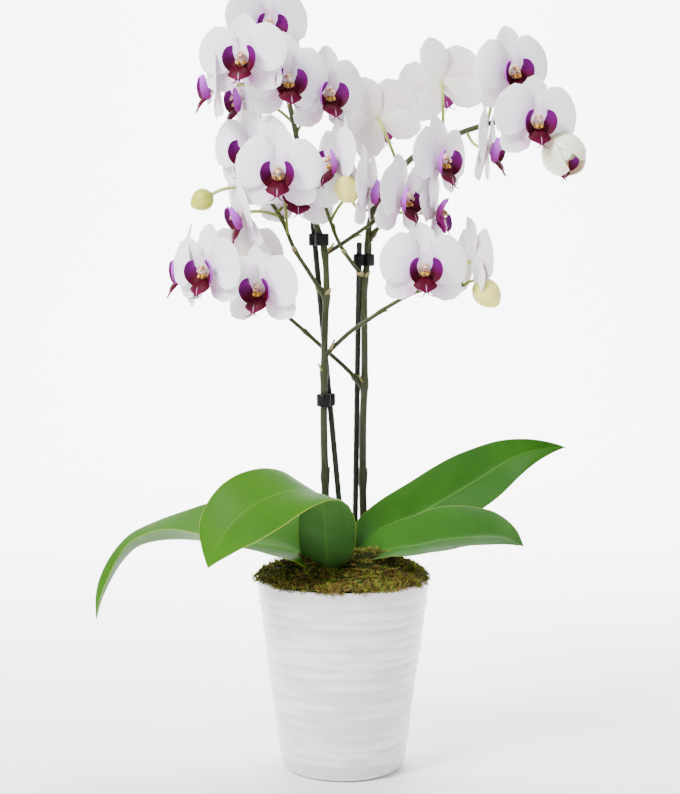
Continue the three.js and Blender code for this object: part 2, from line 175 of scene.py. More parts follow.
class Maker:
    """Collects the parts of one piece in a bmesh, and finishes it as an object."""

    def __init__(self):
        self.bm = bmesh.new()
        self.uv = self.bm.loops.layers.uv.new("pattern")
        self.front = self.bm.verts.layers.float.new("front")
        self.tint = self.bm.verts.layers.float.new("tint")

    def sheet(self, columns, rows, place, pattern=None, side=None, tint=0.0, material=0):
        """A grid whose corner (u, v) goes to place(u, v), with u and v from 0 to 1."""
        made = bmesh.ops.create_grid(self.bm, x_segments=columns, y_segments=rows, size=0.5)
        corners = {vert: (vert.co.x + 0.5, vert.co.y + 0.5) for vert in made["verts"]}
        faces = {face for vert in corners for face in vert.link_faces}
        for face in faces:
            face.material_index = material
            face.smooth = True
            for loop in face.loops:
                u, v = corners[loop.vert]
                loop[self.uv].uv = pattern(u, v) if pattern else (u, v)
        for vert, (u, v) in corners.items():
            vert.co = place(u, v)
            vert[self.front] = side(u, v) if side else 1.0
            vert[self.tint] = tint
        return list(corners)

    def tube(self, route, radius, sides, rows, tint=0.0, material=0):
        """A round tube with closed ends. radius is a function of the share of length."""
        shares = [row / rows for row in range(rows + 1)]
        headings = [route.heading(share) for share in shares]
        normal = headings[0].orthogonal().normalized()
        frames = []
        for share, heading in zip(shares, headings):
            normal = (normal - heading * normal.dot(heading)).normalized()
            frames.append((route.at(share), normal.copy(), heading.cross(normal), radius(share)))

        def place(u, v):
            centre, across, up, size = frames[round(v * rows)]
            angle = 2 * math.pi * u
            return centre + (across * math.cos(angle) + up * math.sin(angle)) * size

        verts = self.sheet(sides, rows, place, tint=tint, material=material)
        bmesh.ops.remove_doubles(self.bm, verts=verts, dist=FINE_WELD)
        self._close_ends(verts, material)

    def _close_ends(self, verts, material):
        edges = {edge for vert in verts if vert.is_valid for edge in vert.link_edges
                 if edge.is_boundary}
        made = bmesh.ops.holes_fill(self.bm, edges=list(edges), sides=0)
        for face in made["faces"]:
            face.material_index = material

    def blade(self, route, half_width, half_thickness, face, columns, rows, shape=None,
              material=0):
        """A closed lens-shaped body along a route, such as a leaf or a petal.

        half_width, half_thickness and face, the way that its upper side looks, are functions of
        the share of length. shape(side, share) lifts the body along its normal, where side runs
        from -1 to 1 across it.
        """
        def place(u, v):
            share = eased(v)
            heading = route.heading(share)
            across = face(share).cross(heading).normalized()
            normal = heading.cross(across)
            angle = 2 * math.pi * u
            side = math.cos(angle)
            lift = math.sin(angle) * half_thickness(share)
            if shape:
                lift += shape(side, share)
            return route.at(share) + across * side * half_width(share) + normal * lift

        verts = self.sheet(
            columns, rows, place, material=material,
            pattern=lambda u, v: (0.5 + 0.5 * math.cos(2 * math.pi * u), eased(v)),
            side=lambda u, v: 0.5 + 0.5 * math.sin(2 * math.pi * u))
        bmesh.ops.remove_doubles(self.bm, verts=verts, dist=WELD)

    def move(self, matrix, first=0):
        self.bm.verts.ensure_lookup_table()
        bmesh.ops.transform(self.bm, matrix=matrix, verts=self.bm.verts[first:])

    def finish(self, name, slot_name, materials, *nodes):
        bmesh.ops.recalc_face_normals(self.bm, faces=self.bm.faces)
        mesh = bpy.data.meshes.new(name)
        self.bm.to_mesh(mesh)
        self.bm.free()
        for material in materials:
            mesh.materials.append(material)
        piece = bpy.data.objects.new(name, mesh)
        bpy.context.collection.objects.link(piece)
        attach(piece, "root")
        if nodes:
            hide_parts(*nodes)
        return piece


# ---- Shader building ----

def colour(code):
    """A linear colour from a six-figure sRGB code."""
    def linear(part):
        part /= 255
        return part / 12.92 if part <= 0.04045 else ((part + 0.055) / 1.055) ** 2.4
    return tuple(linear(int(code[i:i + 2], 16)) for i in (0, 2, 4)) + (1.0,)


class Nodes:
    """Adds nodes to a tree.

    An input that is an output socket is linked, a text is a colour's code, and any other is set.
    """

    MIX_INPUTS = (6, 7)
    MIX_OUTPUT = 2

    def __init__(self, tree):
        self.tree = tree

    def add(self, kind, inputs=None, **settings):
        node = self.tree.nodes.new("ShaderNode" + kind)
        for key, value in settings.items():
            setattr(node, key, value)
        for key, value in (inputs or {}).items():
            self.feed(node.inputs[key], value)
        return node

    def feed(self, socket, value):
        if isinstance(value, bpy.types.NodeSocket):
            self.tree.links.new(value, socket)
        elif isinstance(value, str):
            socket.default_value = colour(value)
        else:
            socket.default_value = value

    def math(self, operation, a, b=0.0):
        return self.add("Math", {0: a, 1: b}, operation=operation).outputs[0]

    def times(self, a, b):
        return self.math("MULTIPLY", a, b)

    def off_middle(self, across):
        return self.math("ABSOLUTE", self.math("SUBTRACT", across, 0.5))

    def mix(self, share, a, b):
        """A colour between a and b. The Mix node's colour sockets go by number."""
        first, second = self.MIX_INPUTS
        node = self.add("Mix", data_type="RGBA")
        self.feed(node.inputs["Factor"], share)
        self.feed(node.inputs[first], a)
        self.feed(node.inputs[second], b)
        return node.outputs[self.MIX_OUTPUT]

    def ramp(self, value, low, high, to_low=0.0, to_high=1.0):
        node = self.add("MapRange", {
            "Value": value, "From Min": low, "From Max": high, "To Min": to_low,
            "To Max": to_high}, interpolation_type="SMOOTHSTEP")
        return node.outputs["Result"]

    def noise(self, vector, scale, detail=3.0, distortion=0.0):
        node = self.add("TexNoise", {
            "Vector": vector, "Scale": scale, "Detail": detail, "Distortion": distortion})
        return node.outputs["Fac"]

    def group(self, tree, **inputs):
        node = self.add("Group", node_tree=tree)
        for key, value in inputs.items():
            self.feed(node.inputs[key.replace("_", " ")], value)
        return node

    def attribute(self, name):
        return self.add("Attribute", attribute_name=name).outputs["Fac"]

    def place(self):
        return self.add("TexCoord").outputs["Object"]

    def pattern(self):
        """The place across and along a piece, on its own UV map."""
        uv = self.add("UVMap", uv_map="pattern").outputs["UV"]
        parts = self.add("SeparateXYZ", {0: uv})
        return parts.outputs["X"], parts.outputs["Y"]


FLOAT = "NodeSocketFloat"
VECTOR = "NodeSocketVector"


def new_group(name, inputs, outputs):
    """A shader group with named sockets: its builder, its given inputs and its made outputs."""
    tree = bpy.data.node_groups.new(name, "ShaderNodeTree")
    for label, kind, default in inputs:
        socket = tree.interface.new_socket(name=label, in_out="INPUT", socket_type=kind)
        if default is not None:
            socket.default_value = default
    for label in outputs:
        tree.interface.new_socket(name=label, in_out="OUTPUT", socket_type=FLOAT)
    given = tree.nodes.new("NodeGroupInput").outputs
    made = tree.nodes.new("NodeGroupOutput").inputs
    return Nodes(tree), given, made


def make_mottle():
    """Soft patches of two sizes: a mask for colour, and a height for bump."""
    nodes, given, made = new_group(
        "mottle",
        [("Vector", VECTOR, None), ("Patch Scale", FLOAT, 40.0), ("Grain Scale", FLOAT, 400.0)],
        ["Patches", "Grain"])
    patches = nodes.noise(given["Vector"], given["Patch Scale"], 3.0, 0.4)
    grain = nodes.noise(given["Vector"], given["Grain Scale"], 2.0)
    nodes.feed(made["Patches"], nodes.ramp(patches, 0.3, 0.7))
    nodes.feed(made["Grain"], grain)
    return nodes.tree


def make_veins():
    """Fine lines that run along a petal or leaf, wavering a little, and the place on it."""
    nodes, given, made = new_group(
        "veins",
        [("Count", FLOAT, 14.0), ("Waver", FLOAT, 0.03), ("Sharpness", FLOAT, 3.0)],
        ["Lines", "Across", "Along"])
    across, along = nodes.pattern()
    drift = nodes.math("SUBTRACT", nodes.noise(nodes.place(), 90.0), 0.5)
    wavering = nodes.math("ADD", across, nodes.times(drift, given["Waver"]))
    turns = nodes.times(nodes.times(wavering, given["Count"]), 2 * math.pi)
    wave = nodes.math("ADD", nodes.times(nodes.math("COSINE", turns), 0.5), 0.5)
    nodes.feed(made["Lines"], nodes.math("POWER", wave, given["Sharpness"]))
    nodes.feed(made["Across"], across)
    nodes.feed(made["Along"], along)
    return nodes.tree


mottle = make_mottle()
veins = make_veins()


class Finish(Nodes):
    """A material with a Principled shader, whose plain values are set on its own sockets."""

    def __init__(self, name, **settings):
        self.material = bpy.data.materials.new(name)
        self.material.use_nodes = True
        super().__init__(self.material.node_tree)
        self.shader = self.tree.nodes["Principled BSDF"]
        for key, value in settings.items():
            self.shader.inputs[key.replace("_", " ")].default_value = value

    def mottled(self, place, patch_scale, grain_scale):
        """The masks of soft patches and of fine grain."""
        made = self.group(
            mottle, Vector=place, Patch_Scale=patch_scale, Grain_Scale=grain_scale).outputs
        return made["Patches"], made["Grain"]

    def veined(self, count, waver, sharpness):
        """The mask of fine lines, and the place across and along the piece."""
        made = self.group(veins, Count=count, Waver=waver, Sharpness=sharpness).outputs
        return made["Lines"], made["Across"], made["Along"]

    def paint(self, skin):
        self.feed(self.shader.inputs["Base Color"], skin)

    def roughen(self, roughness):
        self.feed(self.shader.inputs["Roughness"], roughness)

    def bump(self, height, strength, distance=0.3 * MM):
        node = self.add("Bump", {"Height": height, "Strength": strength, "Distance": distance})
        self.feed(self.shader.inputs["Normal"], node.outputs["Normal"])


# ---- Materials ----

def make_glaze():
    """Off-white glaze, warmer to the foot, with painted shade that darkens the grooves between the
    ribs.
    """
    finish = Finish("white_glaze", Coat_Weight=0.35, Coat_Roughness=0.12)
    place = finish.place()
    patches, grain = finish.mottled(place, 18.0, 160.0)
    height = finish.add("SeparateXYZ", {0: place}).outputs["Z"]
    low_down = finish.ramp(height, 0.0, RIM_HEIGHT * 0.75, 1.0, 0.0)
    white = finish.mix(low_down, "f2f0f1", "efe7e5")
    white = finish.mix(finish.times(patches, 0.3), white, "e8e2e1")
    # Painted shade: the glaze is darkened where the relief is low, in the grooves between the ribs.
    groove_shade = finish.ramp(finish.attribute("tint"), 0.0, 0.5, 0.7, 0.0)
    finish.paint(finish.mix(groove_shade, white, "ccc6c3"))
    finish.roughen(finish.ramp(patches, 0.0, 1.0, 0.26, 0.38))
    finish.bump(grain, 0.12, 0.4 * MM)
    return finish.material


def make_moss_material(name, dark, middle, light, brown):
    """Moss whose strands go from dark to light by their tint, the last few and some patches dry."""
    finish = Finish(name, Roughness=0.85, Specular_IOR_Level=0.1)
    patches, grain = finish.mottled(finish.place(), 55.0, 900.0)
    tint = finish.attribute("tint")
    green = finish.mix(finish.ramp(tint, 0.0, 0.5), dark, middle)
    green = finish.mix(finish.ramp(tint, 0.45, 0.85), green, light)
    dry = finish.math("MAXIMUM", finish.ramp(tint, 0.82, 0.86), finish.times(patches, 0.45))
    finish.paint(finish.mix(dry, green, brown))
    finish.bump(grain, 0.6, 0.5 * MM)
    return finish.material


def make_bark():
    finish = Finish("bark_chips", Roughness=0.9)
    chips = finish.add("TexVoronoi", {"Vector": finish.place(), "Scale": 90.0}).outputs
    finish.paint(finish.mix(chips["Color"], "2d1c12", "6b4a30"))
    finish.bump(chips["Distance"], 0.8, 2 * MM)
    return finish.material


def make_leaf_material():
    """Green, with painted shade to the right and at the foot, a pale midrib that is partly a
    painted sheen, a margin painted pale as a rim highlight, and duller below.
    """
    finish = Finish("leaf_green", Specular_IOR_Level=0.09)
    place = finish.place()
    lines, across, along = finish.veined(22.0, 0.015, 2.0)
    patches, grain = finish.mottled(place, 16.0, 700.0)
    off_middle = finish.off_middle(across)
    sideways = finish.add("SeparateXYZ", {0: place}).outputs["X"]
    # Painted shade: the leaves darken towards the right, away from the key light, and are painted
    # lighter on the left where it falls.
    shade_to_right = finish.ramp(sideways, -30 * MM, 60 * MM)
    upper = finish.mix(patches, "224a0c", "34630f")
    upper = finish.mix(finish.times(shade_to_right, 0.55), upper, "1a4508")
    upper = finish.mix(finish.ramp(shade_to_right, 0.0, 0.3, 0.45, 0.0), upper, "3d6c10")
    # Painted shade at the foot, where the leaves crowd together at the crown.
    upper = finish.mix(finish.ramp(along, 0.0, 0.35, 0.55, 0.0), upper, "173b14")
    upper = finish.mix(finish.times(lines, 0.06), upper, "1c400e")
    under = finish.mix(patches, "2f5423", "41682d")
    under = finish.mix(finish.times(lines, 0.1), under, "4d713a")
    top_side = finish.ramp(finish.attribute("front"), 0.46, 0.54)
    green = finish.mix(top_side, under, upper)
    # The pale midrib is partly its own colour and partly a painted sheen along it.
    midrib_sheen = finish.ramp(off_middle, 0.0, 0.022, 0.4, 0.0)
    green = finish.mix(midrib_sheen, green, "4f7c28")
    # Painted highlight: the pale margin is a rim highlight, strongest on the left where the key
    # light falls.
    margin_highlight = finish.times(finish.ramp(off_middle, 0.486, 0.497),
                          finish.ramp(shade_to_right, 0.0, 0.6, 0.8, 0.35))
    finish.paint(finish.mix(margin_highlight, green, "96a838"))
    finish.roughen(finish.ramp(patches, 0.0, 1.0, 0.42, 0.54))
    height = finish.math("ADD", finish.times(lines, 0.3), finish.times(grain, 0.4))
    finish.bump(height, 0.15, 0.4 * MM)
    return finish.material


def make_stem_material(name, base, top, speck):
    """Green skin of spikes and stalks: it changes along the stem and is lightly mottled."""
    finish = Finish(name, Roughness=0.5, Specular_IOR_Level=0.25)
    patches, grain = finish.mottled(finish.place(), 120.0, 1500.0)
    _, along = finish.pattern()
    green = finish.mix(finish.ramp(along, 0.1, 0.95), base, top)
    finish.paint(finish.mix(finish.times(patches, 0.5), green, speck))
    finish.bump(grain, 0.25)
    return finish.material


def make_dry_scale():
    finish = Finish("dry_bract", Roughness=0.7)
    lines, _, along = finish.veined(9.0, 0.05, 2.0)
    tan = finish.mix(along, "626530", "8d8050")
    finish.paint(finish.mix(finish.times(lines, 0.5), tan, "6d5c3c"))
    finish.bump(lines, 0.3)
    return finish.material


def make_black_plastic(name, tone, roughness):
    finish = Finish(name, Specular_IOR_Level=0.14)
    patches, grain = finish.mottled(finish.place(), 140.0, 2200.0)
    finish.paint(finish.mix(finish.times(patches, 0.35), tone, "1f2220"))
    finish.roughen(finish.ramp(patches, 0.0, 1.0, roughness - 0.08, roughness + 0.1))
    finish.bump(grain, 0.3, 0.2 * MM)
    return finish.material


def make_petal_material(name, blush, reach):
    """White petal flesh with faint veins, and painted lavender shade towards the foot.

    blush is how strongly its foot is streaked with pink, and reach how far along the streaks go.
    """
    finish = Finish(
        name, Roughness=0.55, Subsurface_Weight=0.12, Subsurface_Scale=0.002,
        Subsurface_Radius=(1.0, 0.85, 0.9), Specular_IOR_Level=0.3)
    place = finish.place()
    lines, _, along = finish.veined(14.0, 0.14, 2.2)
    patches, grain = finish.mottled(place, 60.0, 1500.0)
    white = finish.mix(finish.times(patches, 0.5), "f7f6f8", "ece8f4")
    white = finish.mix(finish.times(lines, 0.14), white, "cfc7df")
    # Painted shade: a lavender tint towards the foot, where the petals meet the flower's shaded
    # centre.
    white = finish.mix(finish.ramp(along, 0.05, 0.5, 0.45, 0.0), white, "e3d0ee")
    foot = finish.ramp(along, 0.25, reach, 1.0, 0.0)
    broken = finish.ramp(finish.times(lines, finish.noise(place, 330.0)), 0.1, 0.4)
    cloud = finish.times(finish.ramp(finish.noise(place, 95.0), 0.44, 0.68), 0.7)
    streaks = finish.times(foot, finish.math("MAXIMUM", broken, cloud))
    pink = finish.mix(finish.ramp(along, 0.03, reach * 0.6), "86003f", "b424a6")
    face = finish.mix(finish.times(streaks, blush), white, pink)
    back = finish.mix(finish.times(lines, 0.4), "e4dfe0", "c9a6b8")
    back = finish.mix(finish.ramp(along, 0.0, 0.4, 0.6, 0.0), back, "dfe0c4")
    front_side = finish.ramp(finish.attribute("front"), 0.45, 0.55)
    finish.paint(finish.mix(front_side, back, face))
    height = finish.math("ADD", finish.times(lines, 0.3), finish.times(grain, 0.3))
    finish.bump(height, 0.15, 0.4 * MM)
    return finish.material


def make_lip_material():
    """Dark wine inside, turning purple to the top, and lilac outside."""
    finish = Finish("lip_wine", Roughness=0.55, Specular_IOR_Level=0.12)
    lines, _, along = finish.veined(8.0, 0.08, 2.0)
    inside = finish.mix(finish.ramp(along, 0.25, 0.9), "480018", "6c0074")
    inside = finish.mix(finish.times(lines, 0.3), inside, "2a0013")
    outside = finish.mix(finish.ramp(along, 0.1, 0.75), "6f0c4e", "b24fce")
    outside = finish.mix(finish.times(lines, 0.3), outside, "8a1f9c")
    inner = finish.ramp(finish.attribute("front"), 0.42, 0.5)
    finish.paint(finish.mix(inner, outside, inside))
    finish.bump(finish.noise(finish.place(), 1200.0), 0.2)
    return finish.material


def make_mid_lobe_material():
    """Dark wine, redder to the tip, which has a pale rim and a pale line up its middle."""
    finish = Finish("lip_middle", Roughness=0.55, Specular_IOR_Level=0.12)
    lines, across, along = finish.veined(7.0, 0.05, 2.0)
    off_middle = finish.off_middle(across)
    wine = finish.mix(finish.times(lines, 0.5), "460018", "30000e")
    wine = finish.mix(finish.ramp(along, 0.6, 0.95), wine, "5c0030")
    rim = finish.ramp(finish.times(off_middle, finish.ramp(along, 0.5, 0.9)), 0.4, 0.49)
    notch = finish.times(finish.ramp(off_middle, 0.0, 0.03, 1.0, 0.0),
                         finish.ramp(along, 0.55, 0.8))
    inner = finish.ramp(finish.attribute("front"), 0.42, 0.5)
    both = finish.mix(inner, "75125c", wine)
    finish.paint(finish.mix(finish.math("MAXIMUM", rim, notch), both, "dcb4e6"))
    finish.bump(finish.noise(finish.place(), 1000.0), 0.2)
    return finish.material


def make_column_material():
    """White flesh with a pink flush, brown freckles and a tan end that is partly painted shade, for
    the column and the throat.
    """
    finish = Finish(
        "column_white", Roughness=0.45, Subsurface_Weight=0.1, Subsurface_Scale=0.002,
        Specular_IOR_Level=0.3)
    place = finish.place()
    _, along = finish.pattern()
    flush = finish.ramp(finish.noise(place, 210.0), 0.4, 0.7)
    white = finish.mix(flush, "f4edf0", "dfb9c4")
    # Tan towards the far end of each piece: partly its own tan, and partly painted shade in the
    # throat's hollow.
    white = finish.mix(finish.ramp(along, 0.25, 0.9), white, "d9b98e")
    freckles = finish.times(finish.ramp(finish.noise(place, 620.0, 1.0), 0.48, 0.58),
                            finish.ramp(along, 0.1, 0.6, 0.25, 0.9))
    finish.paint(finish.mix(freckles, white, "8a4a2c"))
    finish.bump(finish.noise(place, 1500.0), 0.2, 0.2 * MM)
    return finish.material


def make_callus_material():
    finish = Finish("callus_gold", Roughness=0.3, Coat_Weight=0.3)
    place = finish.place()
    spots = finish.ramp(finish.noise(place, 700.0, 1.0), 0.52, 0.6)
    gold = finish.mix(finish.noise(place, 300.0), "c07c0a", "e0b030")
    finish.paint(finish.mix(spots, gold, "5e140c"))
    finish.bump(finish.noise(place, 900.0), 0.3)
    return finish.material


def make_bud_material(name, foot, tip):
    finish = Finish(name, Roughness=0.42, Subsurface_Weight=0.15, Subsurface_Scale=0.004)
    lines, _, along = finish.veined(9.0, 0.05, 3.0)
    patches, _ = finish.mottled(finish.place(), 90.0, 1400.0)
    body = finish.mix(finish.ramp(along, 0.0, 0.6), foot, tip)
    body = finish.mix(finish.times(patches, 0.2), body, foot)
    finish.paint(finish.mix(finish.times(lines, 0.14), body, foot))
    finish.bump(lines, 0.15)
    return finish.material


def make_floor_material():
    finish = Finish("pale_floor", Roughness=0.8)
    finish.paint(finish.mix(finish.noise(finish.place(), 2.0), "f6f6f6", "f3f3f4"))
    return finish.material


glaze = make_glaze()
moss_strand = make_moss_material("moss_strand", "34480f", "56701c", "869c30", "84643a")
moss_dry = make_moss_material("moss_dry", "3a3a10", "5a5a1e", "8a7a3c", "6a4a24")
moss_bed = make_moss_material("moss_bed", "2a3612", "3a4a18", "46581c", "35260f")
bark = make_bark()
leaf_green = make_leaf_material()
spike_green = make_stem_material("spike_green", "23280f", "30370f", "35392c")
branch_green = make_stem_material("branch_green", "292f0d", "414815", "1a230e")
stalk_green = make_stem_material("stalk_green", "5a6820", "bcc070", "7c8434")
crown_green = make_stem_material("crown_green", "4f6a2c", "6d8440", "3b4a22")
dry_bract = make_dry_scale()
stake_black = make_black_plastic("stake_black", "23281f", 0.5)
clip_black = make_black_plastic("clip_black", "07080a", 0.42)
petal_white = make_petal_material("petal_white", 0.4, 0.36)
sepal_blushed = make_petal_material("sepal_blushed", 1.0, 0.95)
lip_wine = make_lip_material()
lip_middle = make_mid_lobe_material()
column_white = make_column_material()
callus_gold = make_callus_material()
bud_green = make_bud_material("bud_green", "7e9018", "c0c23c")
bud_yellow = make_bud_material("bud_yellow", "a4ac2c", "ece078")
bud_opening = make_bud_material("bud_opening", "c3c56e", "f1eddc")
pale_floor = make_floor_material()

# The bark and the plant's short stem keep their CAD shapes, which the moss and leaves cover.
for node, material in (("growing_medium", bark), ("crown", crown_green)):
    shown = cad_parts[node]
    shown.data.materials.clear()
    shown.data.materials.append(material)


# ---- Pot ----

POT_TURNS = 160
POT_ROWS = 130
ROUND_STEPS = 8
FOOT_ROUND = 8 * MM
FIRST_RIB = 13 * MM
LAST_RIB = RIM_HEIGHT - 6 * MM
RIB_PITCH = 7.8 * MM
RIB_DEPTH = 1.3 * MM
RIB_DRIFT = 2.2 * MM
RIB_FADE = 4.2 * MM
RIB_EDGE = 1.3 * MM


def pot_radius(height):
    return POT_BASE_RADIUS + (POT_RIM_RADIUS - POT_BASE_RADIUS) * height / RIM_HEIGHT


def rib_relief(turn, height, ribs):
    """How far the thrown wall stands out of a plain cone at a place, in metres."""
    around = Vector((math.cos(turn), math.sin(turn), 0)) * 1.3
    relief = 0.0
    for number, (middle, strength) in enumerate(ribs):
        offset = around + Vector((0, 0, number * 3.7))
        drift = noise.noise(offset) * RIB_DRIFT
        fade = 0.25 + 0.75 * smooth_step(noise.noise(offset * 1.6), -0.45, 0.4)
        above = height - middle - drift
        spread = RIB_FADE if above > 0 else RIB_EDGE
        relief += strength * fade * math.exp(-(above / spread) ** 2)
    return relief * RIB_DEPTH


def pot_outline():
    """Half the pot's section: along the foot, up the outside, over the lip and down the inside."""
    lip = POT_WALL / 2
    high = RIM_HEIGHT - lip
    outline = [(0.0, 0.0)]
    for k in range(7):
        angle = math.radians(-90 + 15 * k)
        outline.append((pot_radius(FOOT_ROUND) - FOOT_ROUND * (1 - math.cos(angle)),
                        FOOT_ROUND * (1 + math.sin(angle))))
    for k in range(1, POT_ROWS + 1):
        height = FOOT_ROUND + (high - FOOT_ROUND) * k / POT_ROWS
        outline.append((pot_radius(height), height))
    for k in range(1, ROUND_STEPS):
        angle = math.pi * k / ROUND_STEPS
        outline.append((pot_radius(RIM_HEIGHT) - lip + lip * math.cos(angle),
                        RIM_HEIGHT - lip + lip * math.sin(angle)))
    for height in (high, RIM_HEIGHT * 0.7, POT_FLOOR):
        outline.append((pot_radius(height) - POT_WALL, height))
    outline.append((0.0, POT_FLOOR))
    return [Vector((radius, 0, height)) for radius, height in outline]


def make_pot():
    ribs = []
    height = FIRST_RIB
    while height < LAST_RIB:
        ribs.append((height, chance.uniform(0.55, 1.1)))
        height += RIB_PITCH * chance.uniform(0.82, 1.2)
    maker = Maker()
    bm = maker.bm
    verts = [bm.verts.new(point) for point in pot_outline()]
    edges = [bm.edges.new(pair) for pair in zip(verts, verts[1:])]
    bmesh.ops.spin(bm, geom=verts + edges, cent=(0, 0, 0), axis=(0, 0, 1), angle=2 * math.pi,
                   steps=POT_TURNS, use_merge=True)
    bmesh.ops.remove_doubles(bm, verts=bm.verts, dist=WELD)
    for vert in bm.verts:
        radius = Vector(vert.co.xy).length
        outside = radius > pot_radius(vert.co.z) - POT_WALL * 0.4
        if outside and vert.co.z > FOOT_ROUND * 0.5:
            turn = math.atan2(vert.co.y, vert.co.x)
            relief = rib_relief(turn, vert.co.z, ribs)
            relief *= smooth_step(vert.co.z, FOOT_ROUND * 0.5, 2 * FOOT_ROUND)
            # The relief is kept for the glaze, which uses it to paint shade in the grooves.
            vert[maker.tint] = relief / RIB_DEPTH
            vert.co += Vector((math.cos(turn), math.sin(turn), 0)) * (relief - 0.3 * MM)
        else:
            vert[maker.tint] = 1.0
        wobble = noise.noise(vert.co * 14) * 0.5 * MM * smooth_step(vert.co.z, 0.01, 0.05)
        if radius > 1 * MM:
            vert.co += Vector((vert.co.x, vert.co.y, 0)).normalized() * wobble
    for face in bm.faces:
        face.smooth = True
    return maker.finish("thrown_pot", "glazed_pot", [glaze], "pot")


# ---- Moss ----

MOSS_TUFTS = 640
DRY_MOSS_TUFTS = 330
TUFT_KINDS = 9
TUFT_STRANDS = 12


def heap(x, y, centre_x, centre_y, spread):
    """A round heap of height 1, with its centre and spread in millimetres."""
    return math.exp(-((x - centre_x * MM) ** 2 + (y - centre_y * MM) ** 2) / (spread * MM) ** 2)


def moss_height(x, y):
    """The moss bed above the rim: a hump to the left, a peak to the right, clumps all over."""
    reach = Vector((x, y)).length / POT_RIM_RADIUS
    dome = 1 - min(reach, 1.0) ** 2.6
    peak = heap(x, y, 26, -11, 27)
    hump = heap(x, y, -32, -10, 23)
    dip = heap(x, y, -8, -19, 13)
    clumps = noise.noise(Vector((x, y, 0)) * 70) * 2.2 * MM
    clumps += noise.noise(Vector((x, y, 3)) * 190) * 1.2 * MM
    rise = 6.5 * MM + 16.5 * MM * peak + 13 * MM * hump - 8 * MM * dip
    return dome * rise + clumps + 1.5 * MM


def make_moss_bed():
    maker = Maker()
    radius = POT_RIM_RADIUS - 1.2 * MM
    rings, turns = 34, 96

    def place(u, v):
        angle = 2 * math.pi * u
        x, y = radius * v * math.cos(angle), radius * v * math.sin(angle)
        inside = POT_RIM_RADIUS - POT_WALL - 0.5 * MM
        drop = smooth_step(radius * v, inside, radius) * 0.5 * MM
        return Vector((x, y, RIM_HEIGHT + moss_height(x, y) - drop))

    verts = maker.sheet(turns, rings, place)
    bmesh.ops.remove_doubles(maker.bm, verts=verts, dist=WELD)
    edges = [edge for edge in maker.bm.edges if edge.is_boundary]
    tuck_in = (POT_RIM_RADIUS - POT_WALL - 1.5 * MM) / radius
    for scale, drop in ((1.0, -1.0 * MM), (tuck_in, 0.0), (1.0, -10 * MM)):
        made = bmesh.ops.extrude_edge_only(maker.bm, edges=edges)
        verts = [item for item in made["geom"] if isinstance(item, bmesh.types.BMVert)]
        edges = [item for item in made["geom"] if isinstance(item, bmesh.types.BMEdge)]
        bmesh.ops.scale(maker.bm, vec=(scale, scale, 1), verts=verts)
        bmesh.ops.translate(maker.bm, vec=(0, 0, drop), verts=verts)
    bmesh.ops.holes_fill(maker.bm, edges=edges, sides=0)
    return maker.finish("moss_bed", "moss", [moss_bed], "moss")


def make_sprig(seed):
    """One tuft of moss: short curled strands that spread from a point, as a small mesh."""
    pick = random.Random(seed)
    maker = Maker()
    for _ in range(TUFT_STRANDS):
        turn = pick.uniform(0, 2 * math.pi)
        out = Vector((math.cos(turn), math.sin(turn), 0))
        side = Vector((-out.y, out.x, 0)) * pick.choice((-1, 1)) * pick.uniform(0.4, 1.2)
        length = pick.uniform(2.6, 4.8) * MM
        rise = pick.uniform(0.3, 0.9)
        start = out * pick.uniform(0, 3.0) * MM
        middle = start + (out * 0.5 + Vector((0, 0, rise)) * 0.6 + side * 0.25) * length
        end = middle + (out * 0.2 + Vector((0, 0, pick.uniform(-0.5, 0.35)))
                        + side * 0.8) * length * 0.6
        thickness = pick.uniform(0.34, 0.52) * MM
        maker.tube(Route([start, middle, end], 6), lambda share: thickness * (1.05 - share * 0.8),
                   sides=3, rows=3, tint=pick.random())
    mesh = bpy.data.meshes.new("sprig")
    maker.bm.to_mesh(mesh)
    maker.bm.free()
    return mesh


def make_moss_strands(name, count, material):
    sprigs = [make_sprig(seed) for seed in range(TUFT_KINDS)]
    maker = Maker()
    for _ in range(count):
        reach = math.sqrt(chance.random()) * (POT_RIM_RADIUS + 0.3 * MM)
        turn = chance.uniform(0, 2 * math.pi)
        x, y = reach * math.cos(turn), reach * math.sin(turn)
        slope = smooth_step(reach, 0.7 * POT_RIM_RADIUS, POT_RIM_RADIUS)
        lean = Matrix.Rotation(slope * 0.9, 4, Vector((-math.sin(turn), math.cos(turn), 0)))
        spin = Matrix.Rotation(chance.uniform(0, 2 * math.pi), 4, "Z")
        size = Matrix.Scale(chance.uniform(0.75, 1.15), 4)
        height = RIM_HEIGHT + moss_height(x, y) - 0.8 * MM
        first = len(maker.bm.verts)
        maker.bm.from_mesh(chance.choice(sprigs))
        maker.move(Matrix.Translation((x, y, height)) @ lean @ spin @ size, first)
    for mesh in sprigs:
        bpy.data.meshes.remove(mesh)
    return maker.finish(name, "moss", [material])


# ---- Leaves ----

# line runs up the middle of a leaf, widths are its half widths at even steps along it, faces say
# which way its upper side looks, and fold how steeply it is folded at its foot, middle and tip.

